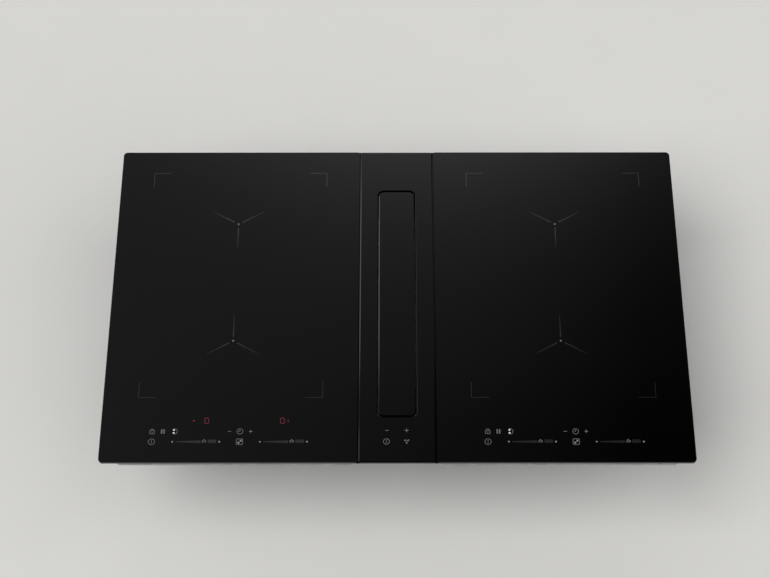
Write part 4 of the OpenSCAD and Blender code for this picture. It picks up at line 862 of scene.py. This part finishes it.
plug = {"joint": 54.75, "halfGap": 0.75, "corner": 2.5, "edge": 260.0, "start": 251.0, "long": 1.0,
        "low": 2.0, "high": 4.9, "turns": (0, 15, 30, 45, 60, 68)}
clearSelection()
bpy.ops.mesh.primitive_plane_add(size=1, location=(0, 0, plug["low"] * mm))
endPlug = bpy.context.object
endPlug.scale = (2 * plug["halfGap"] * mm, plug["long"] * mm, 1)
editAll(placeInMesh(endPlug))
bpy.ops.transform.translate(value=(0, (plug["start"] + plug["long"] / 2) * mm, 0))
reached, halfWide = plug["start"] + plug["long"], plug["halfGap"]
for turn in plug["turns"]:
    # the last edge is drawn out and widened along the panes' round corners
    y = plug["edge"] - plug["corner"] * (1 - sin(radians(turn)))
    wide = plug["halfGap"] + plug["corner"] * (1 - cos(radians(turn)))
    selectVerts(endPlug, lambda co: co.y > (reached - near) * mm)
    bpy.ops.mesh.extrude_region_move(TRANSFORM_OT_translate={"value": (0, (y - reached) * mm, 0)})
    bpy.ops.transform.resize(value=(wide / halfWide, 1, 1), center_override=(0, y * mm, plug["low"] * mm))
    reached, halfWide = y, wide
bpy.ops.mesh.select_all(action="SELECT")
plugHigh = (plug["high"] - plug["low"]) * mm
bpy.ops.mesh.extrude_region_move(TRANSFORM_OT_translate={"value": (0, 0, plugHigh)})
bpy.ops.mesh.select_all(action="SELECT")
bpy.ops.transform.translate(value=(plug["joint"] * mm, 0, 0))
bpy.ops.object.mode_set(mode="OBJECT")
plugs = [endPlug, copyOf(endPlug, turn=pi)] + [copyOf(endPlug, mirror=way) for way in ("x", "y")]
endPlugs = joinAll("joint_end_plugs", plugs)
editAll(endPlugs)
turnFacesOut()
finishPiece(endPlugs, jointRubber, "hob")
print("end plugs done")


# the slanted back wall of the blower's outlet, from the duct's left corner to the scroll's tongue, with ribs
# outside

outlet = {"cornerX": -111.0, "cornerY": 195.0, "tongueX": -10.5, "tongueY": 157.0, "low": -189.2,
          "high": -100.1, "wall": 2.0, "start": 0.8, "clear": 0.1, "ribs": (26.0, 50.0), "ribWide": 1.6,
          "ribOut": 2.4, "round": 0.45}
run = Vector((outlet["tongueX"] - outlet["cornerX"], outlet["tongueY"] - outlet["cornerY"], 0))
wallLong = run.length - outlet["start"]
clearSelection()
bpy.ops.mesh.primitive_cube_add(size=1, location=((outlet["start"] + wallLong / 2) * mm,
                                                  (outlet["clear"] + outlet["wall"] / 2) * mm,
                                                  (outlet["low"] + outlet["high"]) / 2 * mm))
outletWall = bpy.context.object
outletWall.scale = (wallLong * mm, outlet["wall"] * mm, (outlet["high"] - outlet["low"]) * mm)
editAll(placeInMesh(outletWall))
for ribX in outlet["ribs"]:
    # two cuts mark each rib, and the face between them is drawn out
    for side in (-1, 1):
        bpy.ops.mesh.select_all(action="SELECT")
        bpy.ops.mesh.bisect(plane_co=((ribX + side * outlet["ribWide"] / 2) * mm, 0, 0), plane_no=(1, 0, 0))
    selectVerts(outletWall, lambda co: abs(co.x / mm - ribX) < outlet["ribWide"] / 2 + near
                and co.y / mm < outlet["clear"] + near)
    bpy.ops.mesh.extrude_region_move(TRANSFORM_OT_translate={"value": (0, -outlet["ribOut"] * mm, 0)})
# the end at the tongue is rounded over nearly its whole thickness
selectVerts(outletWall, lambda co: co.x / mm > outlet["start"] + wallLong - near)
bpy.ops.mesh.bevel(offset=outlet["round"] * outlet["wall"] * mm, segments=4, affect="EDGES")
turnFacesOut()
outletWall.rotation_euler = (0, 0, -Vector((1, 0)).angle_signed(run.to_2d()))
outletWall.location = (outlet["cornerX"] * mm, outlet["cornerY"] * mm, 0)
outletWall.name = outletWall.data.name = "outlet_back_wall"
finishPiece(placeInMesh(outletWall), finishes["black_plastic"], "hob")
print("outlet wall done")

print("all pieces done")
